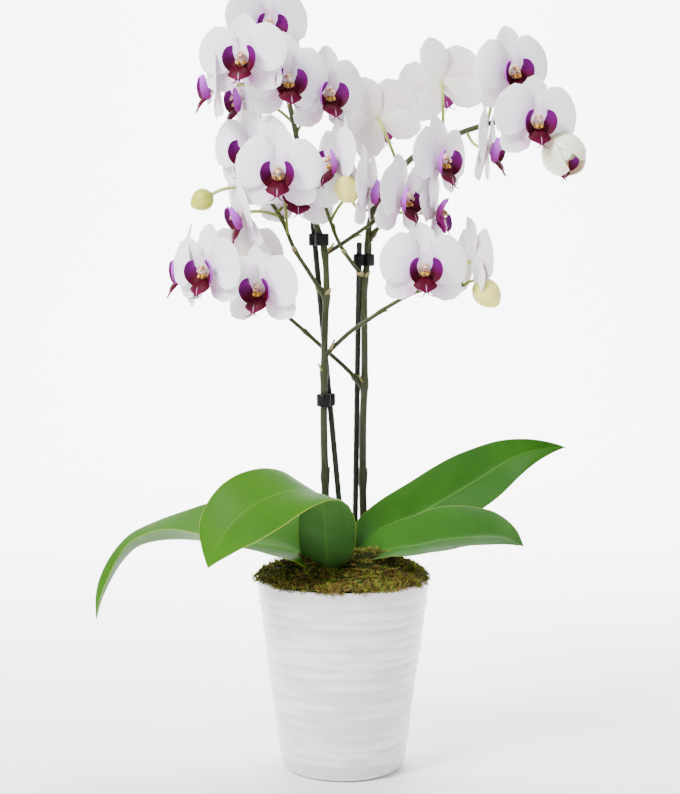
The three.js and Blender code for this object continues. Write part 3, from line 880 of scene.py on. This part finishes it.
LEAVES = {
    "leaf_front_left": {
        "line": [(-6, 2, -8), (-10, -13, 2), (-12, -18, 19), (-12, -25, 38), (-13, -34, 56),
                 (-17, -43, 68), (-27, -50, 72), (-40, -56, 72), (-54, -61, 68), (-69, -66, 60),
                 (-82, -70, 47), (-90, -74, 33), (-95, -77, 21)],
        "widths": [6, 15, 21, 22, 22, 24, 28, 31, 30, 23, 0],
        "faces": [(0, 0.88, 0.35), (0, 0.86, 0.5), (0, 0.85, 0.53), (0.24, 0.76, 0.58),
                  (0.49, 0.56, 0.61), (0.31, -0.05, 0.89), (0.09, -0.47, 0.83),
                  (-0.11, -0.6, 0.69), (-0.27, -0.62, 0.56), (-0.41, -0.62, 0.47),
                  (-0.55, -0.59, 0.38)],
        "fold": (0.3, 0.1, 0.12)},
    "leaf_far_left": {
        "line": [(-6, 3, -4), (-18, 0, 10), (-34, -3, 22), (-59, -7, 29), (-76, -10, 32),
                 (-93, -12, 35), (-110, -14, 36), (-125, -16, 36), (-140, -19, 34),
                 (-153, -21, 29), (-163, -23, 19), (-172, -25, 4), (-178, -27, -11),
                 (-181, -28, -27)],
        "widths": [9, 28, 34, 39, 34, 24, 15, 12, 0],
        "faces": [(0, -0.38, 0.92), (0, -0.38, 0.92), (0, -0.38, 0.92), (0, -0.33, 0.93),
                  (-0.1, -0.2, 0.95), (-0.2, 0.05, 0.95), (-0.7, -0.05, 0.65),
                  (-0.9, -0.35, 0.3), (-0.9, -0.45, 0.15)],
        "fold": (0.45, 0.6, 0.5)},
    "leaf_upper_right": {
        "line": [(-4, 3, -4), (10, 4, 12), (26, 8, 28), (42, 14, 37), (62, 22, 46),
                 (83, 29, 57), (105, 35, 69), (126, 40, 81), (143, 44, 87), (161, 47, 90),
                 (172, 49, 90)],
        "widths": [10, 17, 23, 25, 27, 27, 20, 10, 0],
        "faces": [(-0.35, -0.7, 0.62), (-0.35, -0.85, 0.4)],
        "fold": (0.4, 0.32, 0.25)},
    "leaf_lower_right": {
        "line": [(-4, 3, -8), (8, 0, 8), (22, -4, 19), (39, -10, 25), (54, -17, 29),
                 (71, -24, 34), (91, -31, 37), (105, -37, 38), (119, -42, 36), (130, -46, 31)],
        "widths": [9, 15, 21, 26, 30, 31, 29, 20, 0],
        "faces": [(0, -0.4, 0.91), (0.05, -0.42, 0.9)],
        "fold": (0.45, 0.5, 0.4)},
}


def make_leaf(name, line, widths, faces, fold):
    route = Route([rim_point(point) for point in line])
    faces = [Vector(face) for face in faces]
    ripple_start = chance.uniform(0, 6)

    def half_width(share):
        return max(spline_at(widths, share), 0.05) * MM

    def shape(side, share):
        steep = blend_points(share, [(0, fold[0]), (0.5, fold[1]), (1, fold[2])])
        crease = math.sqrt(side * side + 0.01) - 0.1 - 0.15 * side * side
        ripple = math.sin(share * 11 + side * 2 + ripple_start) * 0.03 * side * side
        return (steep * (crease - 0.3) + ripple) * half_width(share)

    maker = Maker()
    maker.blade(
        route, half_width,
        lambda share: LEAF_THICKNESS / 2 * min(1.0, 0.3 + 2.2 * math.sin(math.pi * share)),
        lambda share: spline_at(faces, share), columns=44, rows=70, shape=shape)
    return maker.finish(name + "_blade", "leaf", [leaf_green], name)


# ---- Spikes, branches, stakes and clips ----

SPIKES = {
    "spike_left": [(-5, -2, -20), (-12, -7, 0), (-14, -11, 28), (-13, -12, 63), (-14, -12, 107),
                   (-14, -12, 145), (-13, -12, 190), (-12, -12, 215), (-14, -12, 245),
                   (-19, -12, 260), (-28, -12, 293), (-36, -12, 336), (-45, -12, 371)],
    "spike_right": [(-3, 5, -20), (8, 22, 0), (15, 25, 28), (15, 20, 63), (15, 11, 113),
                    (16, 8, 145), (16, 6, 174), (16, 6, 219), (18, 6, 234), (20, 6, 264),
                    (31, 5, 286), (50, 1, 309), (73, 0, 322), (96, 0, 331), (114, 0, 335),
                    (130, -1, 329), (148, -4, 321)],
}
# The nodes of the stems, as shares of their length.
SPIKE_NODES = {
    "spike_left": (0.247, 0.44, 0.58, 0.66, 0.85),
    "spike_right": (0.22, 0.38, 0.55, 0.6),
}
BRANCH_NODES = (0.45, 0.72)
BRANCH_FOOT = 0.06
BRANCHES = {
    "branch_left_upper": [(-12.5, -12, 207), (-25, -15, 227), (-35, -18, 243), (-45, -17, 266),
                          (-58, -14, 285)],
    "branch_left_crossing": [(-14, -12, 239), (-1, -14, 247), (18, -15, 260), (27, -14, 266),
                             (34, -13, 270)],
    "branch_right_crossing": [(16, 6, 222), (6, -8, 234), (-3, -18, 248), (-9, -19, 263),
                              (-13, -18, 275)],
    "branch_left_lower": [(-14, -12, 165), (6, -17, 184), (18, -19, 192), (33, -19, 202),
                          (52, -18, 212), (72, -14, 218), (88, -13, 217)],
    "branch_right_lower": [(16, 8, 139), (6, 8, 151), (-9, 8, 165), (-17, 7, 172),
                           (-29, 5, 183), (-50, 4, 200), (-72, 2, 211), (-90, 1, 214)],
    "branch_right_upper": [(20, 6, 250), (27, 0, 260), (34, -6, 267)],
}
STAKES = {
    "stake_left": ((2, -8, 5), (-22, -5, 263)),
    "stake_right": ((9, 30, 5), (12, 2, 248)),
}
CLIPS = {
    "clip_left_low": ("spike_left", "stake_left", 133),
    "clip_left_high": ("spike_left", "stake_left", 250),
    "clip_right": ("spike_right", "stake_right", 235),
}
# The two ends of a clip's strap meet within the weld, and the corners of its square section stand
# out by no more than this share of half its side.
CLIP_WELD = 2e-5
CLIP_CORNER = 1.3
# The dry scales are the second material of a spike or a branch.
BRACT = 1


def node_swelling(share, places, amount=0.28, spread=0.012):
    return 1 + sum(amount * math.exp(-((share - place) / spread) ** 2) for place in places)


def add_bract(maker, route, share, radius, turn, length):
    """A dry scale that clasps the stem at a node and stands off a little at its tip."""
    heading = route.heading(share)
    foot = route.at(share)
    side = (Matrix.Rotation(turn, 3, heading) @ heading.orthogonal().normalized()).normalized()
    line = Route([foot + side * radius * 0.9, foot + heading * length * 0.5 + side * radius * 1.25,
                  foot + heading * length + side * radius * 1.9], 8)
    maker.blade(line, lambda s: radius * 1.25 * math.sin(math.pi * (0.25 + 0.75 * s)) + 0.05 * MM,
                lambda s: 0.3 * MM, lambda s: side, columns=12, rows=8,
                shape=lambda c, s: -radius * 0.75 * c * c * (1 - s * 0.5), material=BRACT)


def make_spike(name, points):
    route = Route([rim_point(point) for point in points])
    places = SPIKE_NODES[name]

    def radius(share):
        size = SPIKE_RADIUS + (SPIKE_TIP_RADIUS - SPIKE_RADIUS) * share
        return size * node_swelling(share, places)

    maker = Maker()
    maker.tube(route, radius, sides=14, rows=150)
    for number, place in enumerate(places):
        add_bract(maker, route, place, radius(place + 0.03), number * 2.4, 7 * MM)
    return maker.finish(name + "_stem", "stem", [spike_green, dry_bract], name)


def make_branch(name, points):
    route = Route([rim_point(point) for point in points])

    def radius(share):
        size = BRANCH_RADIUS + (BRANCH_TIP_RADIUS - BRANCH_RADIUS) * share
        foot = 0.5 * max(0, 1 - share / BRANCH_FOOT)
        return size * (node_swelling(share, BRANCH_NODES, 0.25, 0.02) + foot)

    maker = Maker()
    maker.tube(route, radius, sides=12, rows=60)
    add_bract(maker, route, BRANCH_FOOT, BRANCH_RADIUS * 1.3, 1.0, 8 * MM)
    for place in BRANCH_NODES:
        add_bract(maker, route, place, BRANCH_RADIUS, place * 9, 5 * MM)
    return maker.finish(name + "_stem", "stem", [branch_green, dry_bract], name)


def stake_place(stake, height):
    low, high = STAKES[stake]
    return Vector(low).lerp(Vector(high), (height - low[2]) / (high[2] - low[2]))


def make_stake(name):
    top = STAKES[name][1][2]
    line = Route([rim_point(stake_place(name, -STAKE_DEPTH)), rim_point(STAKES[name][1])], 40)
    maker = Maker()

    def radius(share):
        below_tip = min(1.0, (1 - share) * line.length / (0.7 * MM))
        grip = 0.03 * math.sin(share * line.length / (1.6 * MM))
        return STAKE_RADIUS * (1.04 + grip) * (0.72 + 0.28 * math.sqrt(max(below_tip, 0.0)))

    maker.tube(line, radius, sides=12, rows=int(top + STAKE_DEPTH))
    return maker.finish(name + "_rod", "stake", [stake_black], name)


def spike_place(spike, height):
    route = Route([Vector(point) for point in SPIKES[spike]])
    return min(route.places, key=lambda place: abs(place.z - height))


def make_clip(name, spike, stake, height):
    """A strap bent round the spike and its stake, and pinched between them."""
    stem = spike_place(spike, height)
    rod = stake_place(stake, height)
    heading = math.atan2(rod.y - stem.y, rod.x - stem.x)
    along = Vector((math.cos(heading), math.sin(heading), 0))
    across = Vector((-along.y, along.x, 0))
    centre = rim_point((stem.x, stem.y, height))
    gap = (Vector((rod.x, rod.y)) - Vector((stem.x, stem.y))).length * MM
    stem_round = SPIKE_RADIUS + CLIP_WALL * 0.6
    rod_round = STAKE_RADIUS + CLIP_WALL * 0.6
    waist = 1.6 * MM
    loop = []
    for k in range(9):
        angle = math.radians(65 + 230 * k / 8)
        loop.append(Vector((math.cos(angle), math.sin(angle))) * stem_round)
    loop.append(Vector((gap * 0.52, -waist)))
    for k in range(7):
        angle = math.radians(-110 + 220 * k / 6)
        loop.append(Vector((gap, 0)) + Vector((math.cos(angle), math.sin(angle))) * rod_round)
    loop.append(Vector((gap * 0.52, waist)))
    places = [centre + along * p.x + across * p.y for p in [*loop, loop[0]]]
    route = Route(places, 8)
    maker = Maker()

    def place(u, v):
        heading = route.heading(v)
        out = heading.cross(Vector((0, 0, 1)))
        angle = 2 * math.pi * u + math.pi / 4
        square = 1 / max(abs(math.cos(angle)), abs(math.sin(angle)))
        edge = min(square, CLIP_CORNER)
        wall = math.cos(angle) * edge * CLIP_WALL * 0.5
        rise = math.sin(angle) * edge * CLIP_HEIGHT * 0.5
        return route.at(v) + out * wall + Vector((0, 0, rise))

    verts = maker.sheet(20, 90, place)
    bmesh.ops.remove_doubles(maker.bm, verts=verts, dist=CLIP_WELD)
    return maker.finish(name + "_strap", "clip", [clip_black], name)


# ---- Flowers ----
# at is the column's foot, turn the yaw to the right, pitch up and roll in degrees, and root the
# place where the stalk meets its stem. A flower is made facing -Y with its top sepal up.

FLOWERS = [
    ((-70, -45, 377), (-12, 5, 0), (-42, -12, 360)),
    ((-40, -34, 363), (20, 0, 0), (-38, -12, 343)),
    ((-12, -18, 355), (35, 0, 0), (-34, -12, 325)),
    ((-92, -20, 360), (-80, 0, 0), (-43, -12, 364)),
    ((-55, -8, 404), (25, 0, 0), (-45, -12, 370)),
    ((-72, -5, 352), (-70, 0, 0), (-36, -12, 334)),
    ((-45, -50, 298), (-5, 0, 0), (-40, -18, 254)),
    ((-66, -25, 314), (-30, 0, 0), (-57, -14, 284)),
    ((-72, -21, 269), (-75, -15, 0), (-46, -17, 267)),
    ((-4, -20, 307), (-62, 0, 0), (-13, -18, 274)),
    ((18, -15, 286), (75, 0, 0), (-9, -19, 263)),
    ((-97, -35, 229), (-35, 0, 0), (-85, 1, 213)),
    ((-59, -28, 216), (-25, 0, 0), (-50, 4, 200)),
    ((-115, -5, 228), (-80, 0, 0), (-90, 1, 214)),
    ((-73, 2, 236), (160, 0, 0), (-66, 2, 209)),
    ((26, 10, 338), (180, 0, -25), (42, 3, 300)),
    ((72, 12, 364), (180, 0, -20), (73, 0, 322)),
    ((122, -5, 372), (25, 0, 10), (105, 0, 334)),
    ((137, -28, 335), (15, 0, 0), (130, -1, 329)),
    ((104, -12, 316), (75, 0, 0), (90, 0, 329)),
    ((69, -25, 307), (50, 0, 0), (60, 1, 315)),
    ((42, -30, 280), (55, 0, 0), (34, -6, 267)),
    ((66, -15, 269), (75, 0, -55), (34, -13, 270)),
    ((57, -40, 231), (8, 0, 0), (60, -17, 215)),
    ((94, -10, 234), (110, 0, 0), (86, -13, 217)),
    ((-32, -18, 286), (0, 0, 0), (-47, -17, 270)),
]
FLOWER_MATERIALS = [petal_white, sepal_blushed, lip_wine, lip_middle, column_white, callus_gold,
                    stalk_green]
PETAL, SIDE_SEPAL, LIP, MID_LOBE, COLUMN, CALLUS, STALK = range(len(FLOWER_MATERIALS))


def flower_matrix(at, turn):
    yaw, pitch, roll = (math.radians(angle) for angle in turn)
    return (Matrix.Translation(rim_point(at)) @ Matrix.Rotation(yaw, 4, "Z")
            @ Matrix.Rotation(-pitch, 4, "X") @ Matrix.Rotation(-roll, 4, "Y"))


def flower_line(*points, samples=10):
    """A route inside a flower, through points in millimetres from the column's foot."""
    return Route([Vector(point) * MM for point in points], samples)


def rounded(share, power=0.6):
    """The girth of a part that is round at both ends, from 0 to 1."""
    return math.sin(math.pi * share) ** power


def petal_outline(share):
    return blend_points(share, [(0, 0.14), (0.06, 0.24), (0.3, 0.84), (0.52, 1.0), (0.75, 0.92),
                                (0.9, 0.62), (0.97, 0.33), (1, 0.0)])


def sepal_outline(share):
    return blend_points(share, [(0, 0.3), (0.2, 0.62), (0.5, 1.0), (0.75, 0.85), (0.92, 0.45),
                                (1, 0.0)])


def add_tepal(maker, angle, length, width, behind, outline, cup, curl, material):
    """A petal or sepal that leaves the flower's centre at an angle, in degrees from +X."""
    out = Vector((math.cos(math.radians(angle)), 0, math.sin(math.radians(angle))))

    def reach(distance, y):
        return out * distance * length + Vector((0, y, 0))

    route = Route([reach(0.03, 0.4 * MM), reach(0.3, behind * 0.6), reach(0.6, behind),
                   reach(0.85, behind + curl * 0.4), reach(1.0, behind + curl)], 10)
    phase = chance.uniform(0, 6)

    def shape(side, share):
        wave = math.sin(share * 7 + side * 2.5 + phase) * 0.7 * MM * abs(side) ** 2
        groove = 0.5 * MM * math.exp(-(side / 0.12) ** 2)
        return (cup * abs(side) ** 2 * MM + wave - groove) * math.sin(math.pi * share) ** 0.5

    maker.blade(
        route, lambda share: outline(share) * width / 2,
        lambda share: TEPAL_THICKNESS / 2 * (1.6 - share), lambda share: Vector((0, -1, 0)),
        columns=26, rows=18, shape=shape, material=material)


def add_side_lobe(maker, side):
    lobe = flower_line((side * 2.6, -3.5, -8.8), (side * 7.6, -5, -7), (side * 9.9, -6.6, -1.5),
                       (side * 9.0, -7.6, 3.5), (side * 5.8, -8.2, 7.4))
    maker.blade(
        lobe,
        lambda share: 5.4 * MM * rounded(0.1 + 0.9 * share, 0.7) + 0.02 * MM,
        lambda share: 0.55 * MM, lambda share: Vector((-side * 0.74, -0.7, 0.1)),
        columns=18, rows=16, shape=lambda c, share: 1.7 * MM * c * c, material=LIP)


def add_mid_lobe(maker):
    """The broad middle lobe of the lip, grooved down its middle, with two hooked tendrils."""
    lobe = flower_line((0, -3, -6.5), (0, -7, -8.6), (0, -10.8, -12.2), (0, -12.4, -18.4))
    widths = [2.6, 4.4, 6.8, 8.4, 8.8, 8.0, 5.4, 0.0]

    def shape(side, share):
        groove = 0.9 * math.exp(-(side / 0.15) ** 2)
        return (-2.4 * side * side * math.sin(math.pi * share) - groove) * MM

    maker.blade(
        lobe, lambda share: spline_at(widths, share) * MM + 0.01 * MM,
        lambda share: (1.1 - 0.5 * share) * MM, lambda share: Vector((0, -0.85, 0.5)),
        columns=22, rows=18, shape=shape, material=MID_LOBE)
    for side in (-1, 1):
        tendril = flower_line((side * 0.9, -12.2, -17.2), (side * 2.2, -13.2, -19.4),
                              (side * 4.2, -14.0, -20.4), (side * 5.9, -13.8, -19.8), samples=8)
        maker.tube(tendril, lambda share: (0.55 - 0.35 * share) * MM, sides=8, rows=16,
                   material=LIP)


def add_throat(maker):
    """The hollow throat below the column, with the two knobs of the callus in it."""
    throat = flower_line((0, -0.2, 2), (0, -1.6, -3), (0, -4.6, -7.6))
    maker.blade(
        throat,
        lambda share: blend_points(share, [(0, 1), (0.4, 4.6), (0.8, 4.2), (1, 1.5)]) * MM,
        lambda share: 0.5 * MM, lambda share: Vector((0, -0.9, 0.3)),
        columns=16, rows=12, shape=lambda c, share: 2.4 * MM * c * c, material=COLUMN)
    for side in (-1, 1):
        knob = flower_line((side * 1.5, -3.4, -4.6), (side * 1.8, -6.3, -4.0),
                           (side * 1.5, -8.4, -6.0), samples=8)
        maker.blade(knob, lambda share: 1.5 * MM * rounded(share),
                    lambda share: 1.4 * MM * rounded(share), lambda share: Vector((0, -0.3, 1)),
                    columns=12, rows=10, material=CALLUS)


def add_lip(maker):
    """Two ear-like side lobes and the middle lobe, round the throat and its callus."""
    for side in (-1, 1):
        add_side_lobe(maker, side)
    add_mid_lobe(maker)
    add_throat(maker)


def add_column(maker):
    """The column that holds the pollen, hooded over the throat, with a cap at its end."""
    line = flower_line((0, 1.5, 1.8), (0, -3, 2.6), (0, -6.8, 1.9), (0, -9.4, -0.4))
    widths = [(0, 1.8), (0.35, 2.4), (0.7, 3.1), (0.9, 2.3), (1, 0.0)]
    depths = [(0, 1.2), (0.5, 1.4), (0.85, 1.7), (1, 0.0)]
    maker.blade(
        line, lambda share: blend_points(share, widths) * MM,
        lambda share: blend_points(share, depths) * MM, lambda share: Vector((0, -0.2, 1)),
        columns=16, rows=14, shape=lambda c, share: -1.3 * MM * c * c, material=COLUMN)
    cap = flower_line((0, -7.0, 0.6), (0, -9.2, -0.6), (0, -9.8, -2.2), samples=8)
    maker.blade(cap, lambda share: 1.9 * MM * rounded(share),
                lambda share: 1.2 * MM * rounded(share), lambda share: Vector((0, -0.9, 0.5)),
                columns=14, rows=10, material=COLUMN)


def stalk_route(root, centre, back):
    start = rim_point(root)
    distance = (centre - start).length
    behind = centre + back * distance * 0.45
    first = start + (behind - start) * 0.4
    points = []
    for k in range(7):
        t = k / 6
        points.append(start * (1 - t) ** 3 + first * 3 * t * (1 - t) ** 2
                      + behind * 3 * t * t * (1 - t) + centre * t ** 3)
    return Route(points, 8)


def add_stalk(maker, root, centre, back, material):
    """The stalk of a flower or bud, which flares at its root and thickens to its end."""
    def radius(share):
        flare = 0.5 * max(0, 0.06 - share) / 0.06
        return PEDICEL_RADIUS * (0.8 + 0.25 * share + flare)

    maker.tube(stalk_route(root, centre, back), radius, sides=10, rows=26, material=material)


def make_flower(number, at, turn, root):
    name = f"flower_{number:02d}"
    maker = Maker()

    def nearly(value, spread=0.06):
        return value * chance.uniform(1 - spread, 1 + spread)

    for side in (1, -1):
        lift = PETAL_RISE + chance.uniform(-4, 4)
        add_tepal(maker, lift if side == 1 else 180 - lift, nearly(PETAL_LENGTH, 0.04),
                  nearly(PETAL_WIDTH), chance.uniform(-3.0, -1.0) * MM, petal_outline,
                  chance.uniform(-2.0, 0.5), chance.uniform(0.5, 3.5) * MM, PETAL)
    add_tepal(maker, 90 + chance.uniform(-4, 4), nearly(SEPAL_LENGTH, 0.04), nearly(SEPAL_WIDTH),
              2.5 * MM, sepal_outline, chance.uniform(0.5, 2.5), chance.uniform(0, 3) * MM, PETAL)
    for side in (1, -1):
        fall = SIDE_SEPAL_FALL + chance.uniform(-5, 5)
        add_tepal(maker, -fall if side == 1 else 180 + fall, nearly(SEPAL_LENGTH, 0.04),
                  nearly(SIDE_SEPAL_WIDTH), 3 * MM, sepal_outline, chance.uniform(0.5, 2.5),
                  chance.uniform(0, 3) * MM, SIDE_SEPAL)
    add_lip(maker)
    add_column(maker)
    matrix = flower_matrix(at, turn)
    maker.move(matrix)
    back = (matrix.to_3x3() @ Vector((0, 1, 0))).normalized()
    add_stalk(maker, root, rim_point(at) + back * 0.6 * MM, back, STALK)
    return maker.finish(name + "_bloom", "petal", FLOWER_MATERIALS, name)


# ---- Buds ----

BUDS = {
    "bud_left": {"at": (-94, -20, 283), "tip": (-109, -24, 274), "root": (-58, -14, 285),
                 "wide": 16, "skin": bud_green},
    "bud_middle": {"at": (6, -24, 279), "tip": (0, -40, 294), "root": (20, 6, 272),
                   "wide": 19, "skin": bud_yellow},
    "bud_right": {"at": (97, -18, 220), "tip": (111, -31, 203), "root": (88, -13, 217),
                  "wide": 20, "skin": bud_yellow},
}
# A bud's stalk is its second material.
BUD_STALK = 1
HALF_OPEN = {"at": (150, -12, 319), "tip": (168, -34, 301), "root": (148, -4, 321), "wide": 30}
# The turn of each cupped sepal or petal about the bud in degrees, its girth and reach as shares of
# the bud's, and half its spread in degrees. The three sepals come first.
HALF_OPEN_SHELLS = ((90, 1.0, 1.0, 62), (205, 1.0, 0.9, 60), (-25, 1.0, 0.95, 60),
                    (150, 0.9, 0.8, 58), (30, 0.9, 0.86, 58))


def bud_swell(share):
    """The girth of a bud: it fills out quickly from its foot and narrows to a blunt tip."""
    return math.sin(math.pi * min(share, 1.0) ** 0.85) ** 0.62


def make_bud(name, at, tip, root, wide, skin):
    """A closed bud whose three outer sepals meet along grooves."""
    base = rim_point(at)
    length = (rim_point(tip) - base).length
    heading = (rim_point(tip) - base).normalized()
    across = heading.orthogonal().normalized()
    up = heading.cross(across)
    maker = Maker()

    def place(u, v):
        share = eased(v)
        angle = 2 * math.pi * u + 0.5 * share
        groove = math.exp(-(math.sin(1.5 * angle) / 0.16) ** 2)
        swell = bud_swell(share) * (1 - 0.13 * groove - 0.02 * math.cos(3 * angle))
        return (base + heading * share * length
                + (across * math.cos(angle) + up * math.sin(angle)) * swell * wide / 2 * MM)

    verts = maker.sheet(72, 26, place, pattern=lambda u, v: (u, eased(v)))
    bmesh.ops.remove_doubles(maker.bm, verts=verts, dist=WELD)
    add_stalk(maker, root, base + heading * 1.5 * MM, -heading, BUD_STALK)
    return maker.finish(name + "_body", "bud", [skin, stalk_green], name)


def make_half_open(at, tip, root, wide):
    """A bud that begins to open: cupped sepals round a lip that shows between them."""
    base = rim_point(at)
    length = (rim_point(tip) - base).length
    heading = (rim_point(tip) - base).normalized()
    across = heading.cross(Vector((0, 0, 1))).normalized()
    up = across.cross(heading)
    maker = Maker()
    for turn, girth, reach, spread in HALF_OPEN_SHELLS:
        def place(u, v, turn=turn, girth=girth, reach=reach, spread=spread):
            narrow = math.sin(math.pi * (0.12 + 0.88 * v)) ** 0.55
            angle = math.radians(turn + (u - 0.5) * 2 * spread * narrow)
            swell = bud_swell(0.03 + 0.9 * v * reach) * girth * wide / 2 * MM
            return (base + heading * v * reach * length * 0.97
                    + (across * math.cos(angle) + up * math.sin(angle)) * swell)

        outer = maker.sheet(18, 20, place, side=lambda u, v: 0.0)
        faces = list({face for vert in outer for face in vert.link_faces})
        bmesh.ops.recalc_face_normals(maker.bm, faces=faces)
        made = bmesh.ops.solidify(maker.bm, geom=faces, thickness=TEPAL_THICKNESS)
        for item in made["geom"]:
            if isinstance(item, bmesh.types.BMVert):
                item[maker.front] = 1.0
    first = len(maker.bm.verts)
    add_lip(maker)
    inward = Matrix(((across.x, -heading.x, up.x, 0), (across.y, -heading.y, up.y, 0),
                     (across.z, -heading.z, up.z, 0), (0, 0, 0, 1)))
    maker.move(Matrix.Translation(base + heading * length * 0.5 - up * 2.0 * MM) @ inward
               @ Matrix.Scale(0.68, 4), first)
    add_stalk(maker, root, base + heading * 1.5 * MM, -heading, STALK)
    return maker.finish("flower_half_open_body", "bud", [
        bud_opening, bud_opening, *FLOWER_MATERIALS[LIP:]], "flower_half_open")


# ---- Building ----

make_pot()
make_moss_bed()
make_moss_strands("moss_strands", MOSS_TUFTS, moss_strand)
make_moss_strands("moss_dry_strands", DRY_MOSS_TUFTS, moss_dry)
for leaf_name, leaf in LEAVES.items():
    make_leaf(leaf_name, **leaf)
for spike_name, spike_points in SPIKES.items():
    make_spike(spike_name, spike_points)
for branch_name, branch_points in BRANCHES.items():
    make_branch(branch_name, branch_points)
for stake_name in STAKES:
    make_stake(stake_name)
for clip_name, (clip_spike, clip_stake, clip_height) in CLIPS.items():
    make_clip(clip_name, clip_spike, clip_stake, clip_height)
for flower_number, (flower_at, flower_turn, flower_root) in enumerate(FLOWERS, 1):
    make_flower(flower_number, flower_at, flower_turn, flower_root)
for bud_name, bud in BUDS.items():
    make_bud(bud_name, **bud)
make_half_open(**HALF_OPEN)


# ---- Floor, lights and camera ----

FLOOR_NEAR = -6
FLOOR_FLAT = 7.5
FLOOR_BEND = 2.5
FLOOR_RUN = 18
FLOOR_WIDTH = 24
FLOOR_STEPS = 60

SKY_STRENGTH = 0.42
# Each light's place, what it aims at, its size in metres and its power in watts.
LIGHTS = {
    "key": ((-1.3, -1.3, 1.9), (0, 0, 0.35), 0.8, 128),
    "fill": ((1.6, -1.3, 0.8), (0, 0, 0.3), 1.6, 12),
    "top": ((0.3, 0.4, 2.1), (0, 0, 0.2), 0.9, 48),
    "backdrop": ((0, 1.0, 2.8), (0, 5, 1.2), 3.0, 950),
}

CAMERA_PLACE = (-2.2 * MM, -1.25, 0.406)
CAMERA_FALL = 5.8  # degrees below level
LENS = 77
SENSOR_WIDTH = 36


def make_floor():
    """A floor that sweeps up into a tall back wall far behind the plant."""
    bm = bmesh.new()
    made = bmesh.ops.create_grid(bm, x_segments=2, y_segments=FLOOR_STEPS, size=0.5)
    for vert in made["verts"]:
        run = (vert.co.y + 0.5) * FLOOR_RUN
        bend = min(max(run - FLOOR_FLAT, 0.0) / FLOOR_BEND, math.pi / 2)
        rise = max(run - FLOOR_FLAT - FLOOR_BEND * math.pi / 2, 0.0)
        vert.co = Vector((
            vert.co.x * FLOOR_WIDTH,
            FLOOR_NEAR + min(run, FLOOR_FLAT) + FLOOR_BEND * math.sin(bend),
            FLOOR_BEND * (1 - math.cos(bend)) + rise))
    for face in bm.faces:
        face.smooth = True
    mesh = bpy.data.meshes.new("floor")
    bm.to_mesh(mesh)
    bm.free()
    mesh.materials.append(pale_floor)
    floor = bpy.data.objects.new("floor", mesh)
    bpy.context.collection.objects.link(floor)


def add_light(name, place, aim, size, power):
    light = bpy.data.lights.new(name, "AREA")
    light.size = size
    light.energy = power
    lamp = bpy.data.objects.new(name, light)
    lamp.location = place
    lamp.rotation_euler = (Vector(aim) - Vector(place)).to_track_quat("-Z", "Y").to_euler()
    bpy.context.collection.objects.link(lamp)


def make_camera():
    camera = bpy.data.cameras.new("camera")
    camera.lens = LENS
    camera.sensor_width = SENSOR_WIDTH
    camera.clip_start = 0.01
    camera.clip_end = 100
    holder = bpy.data.objects.new("camera", camera)
    holder.location = CAMERA_PLACE
    holder.rotation_euler = (math.radians(90 - CAMERA_FALL), 0, 0)
    bpy.context.collection.objects.link(holder)
    bpy.context.scene.camera = holder


def make_sky():
    world = bpy.data.worlds.new("studio")
    world.use_nodes = True
    background = world.node_tree.nodes["Background"]
    background.inputs["Color"].default_value = (1, 1, 1, 1)
    background.inputs["Strength"].default_value = SKY_STRENGTH
    bpy.context.scene.world = world


make_floor()
make_sky()
for light_name, light_setting in LIGHTS.items():
    add_light(light_name, *light_setting)
make_camera()
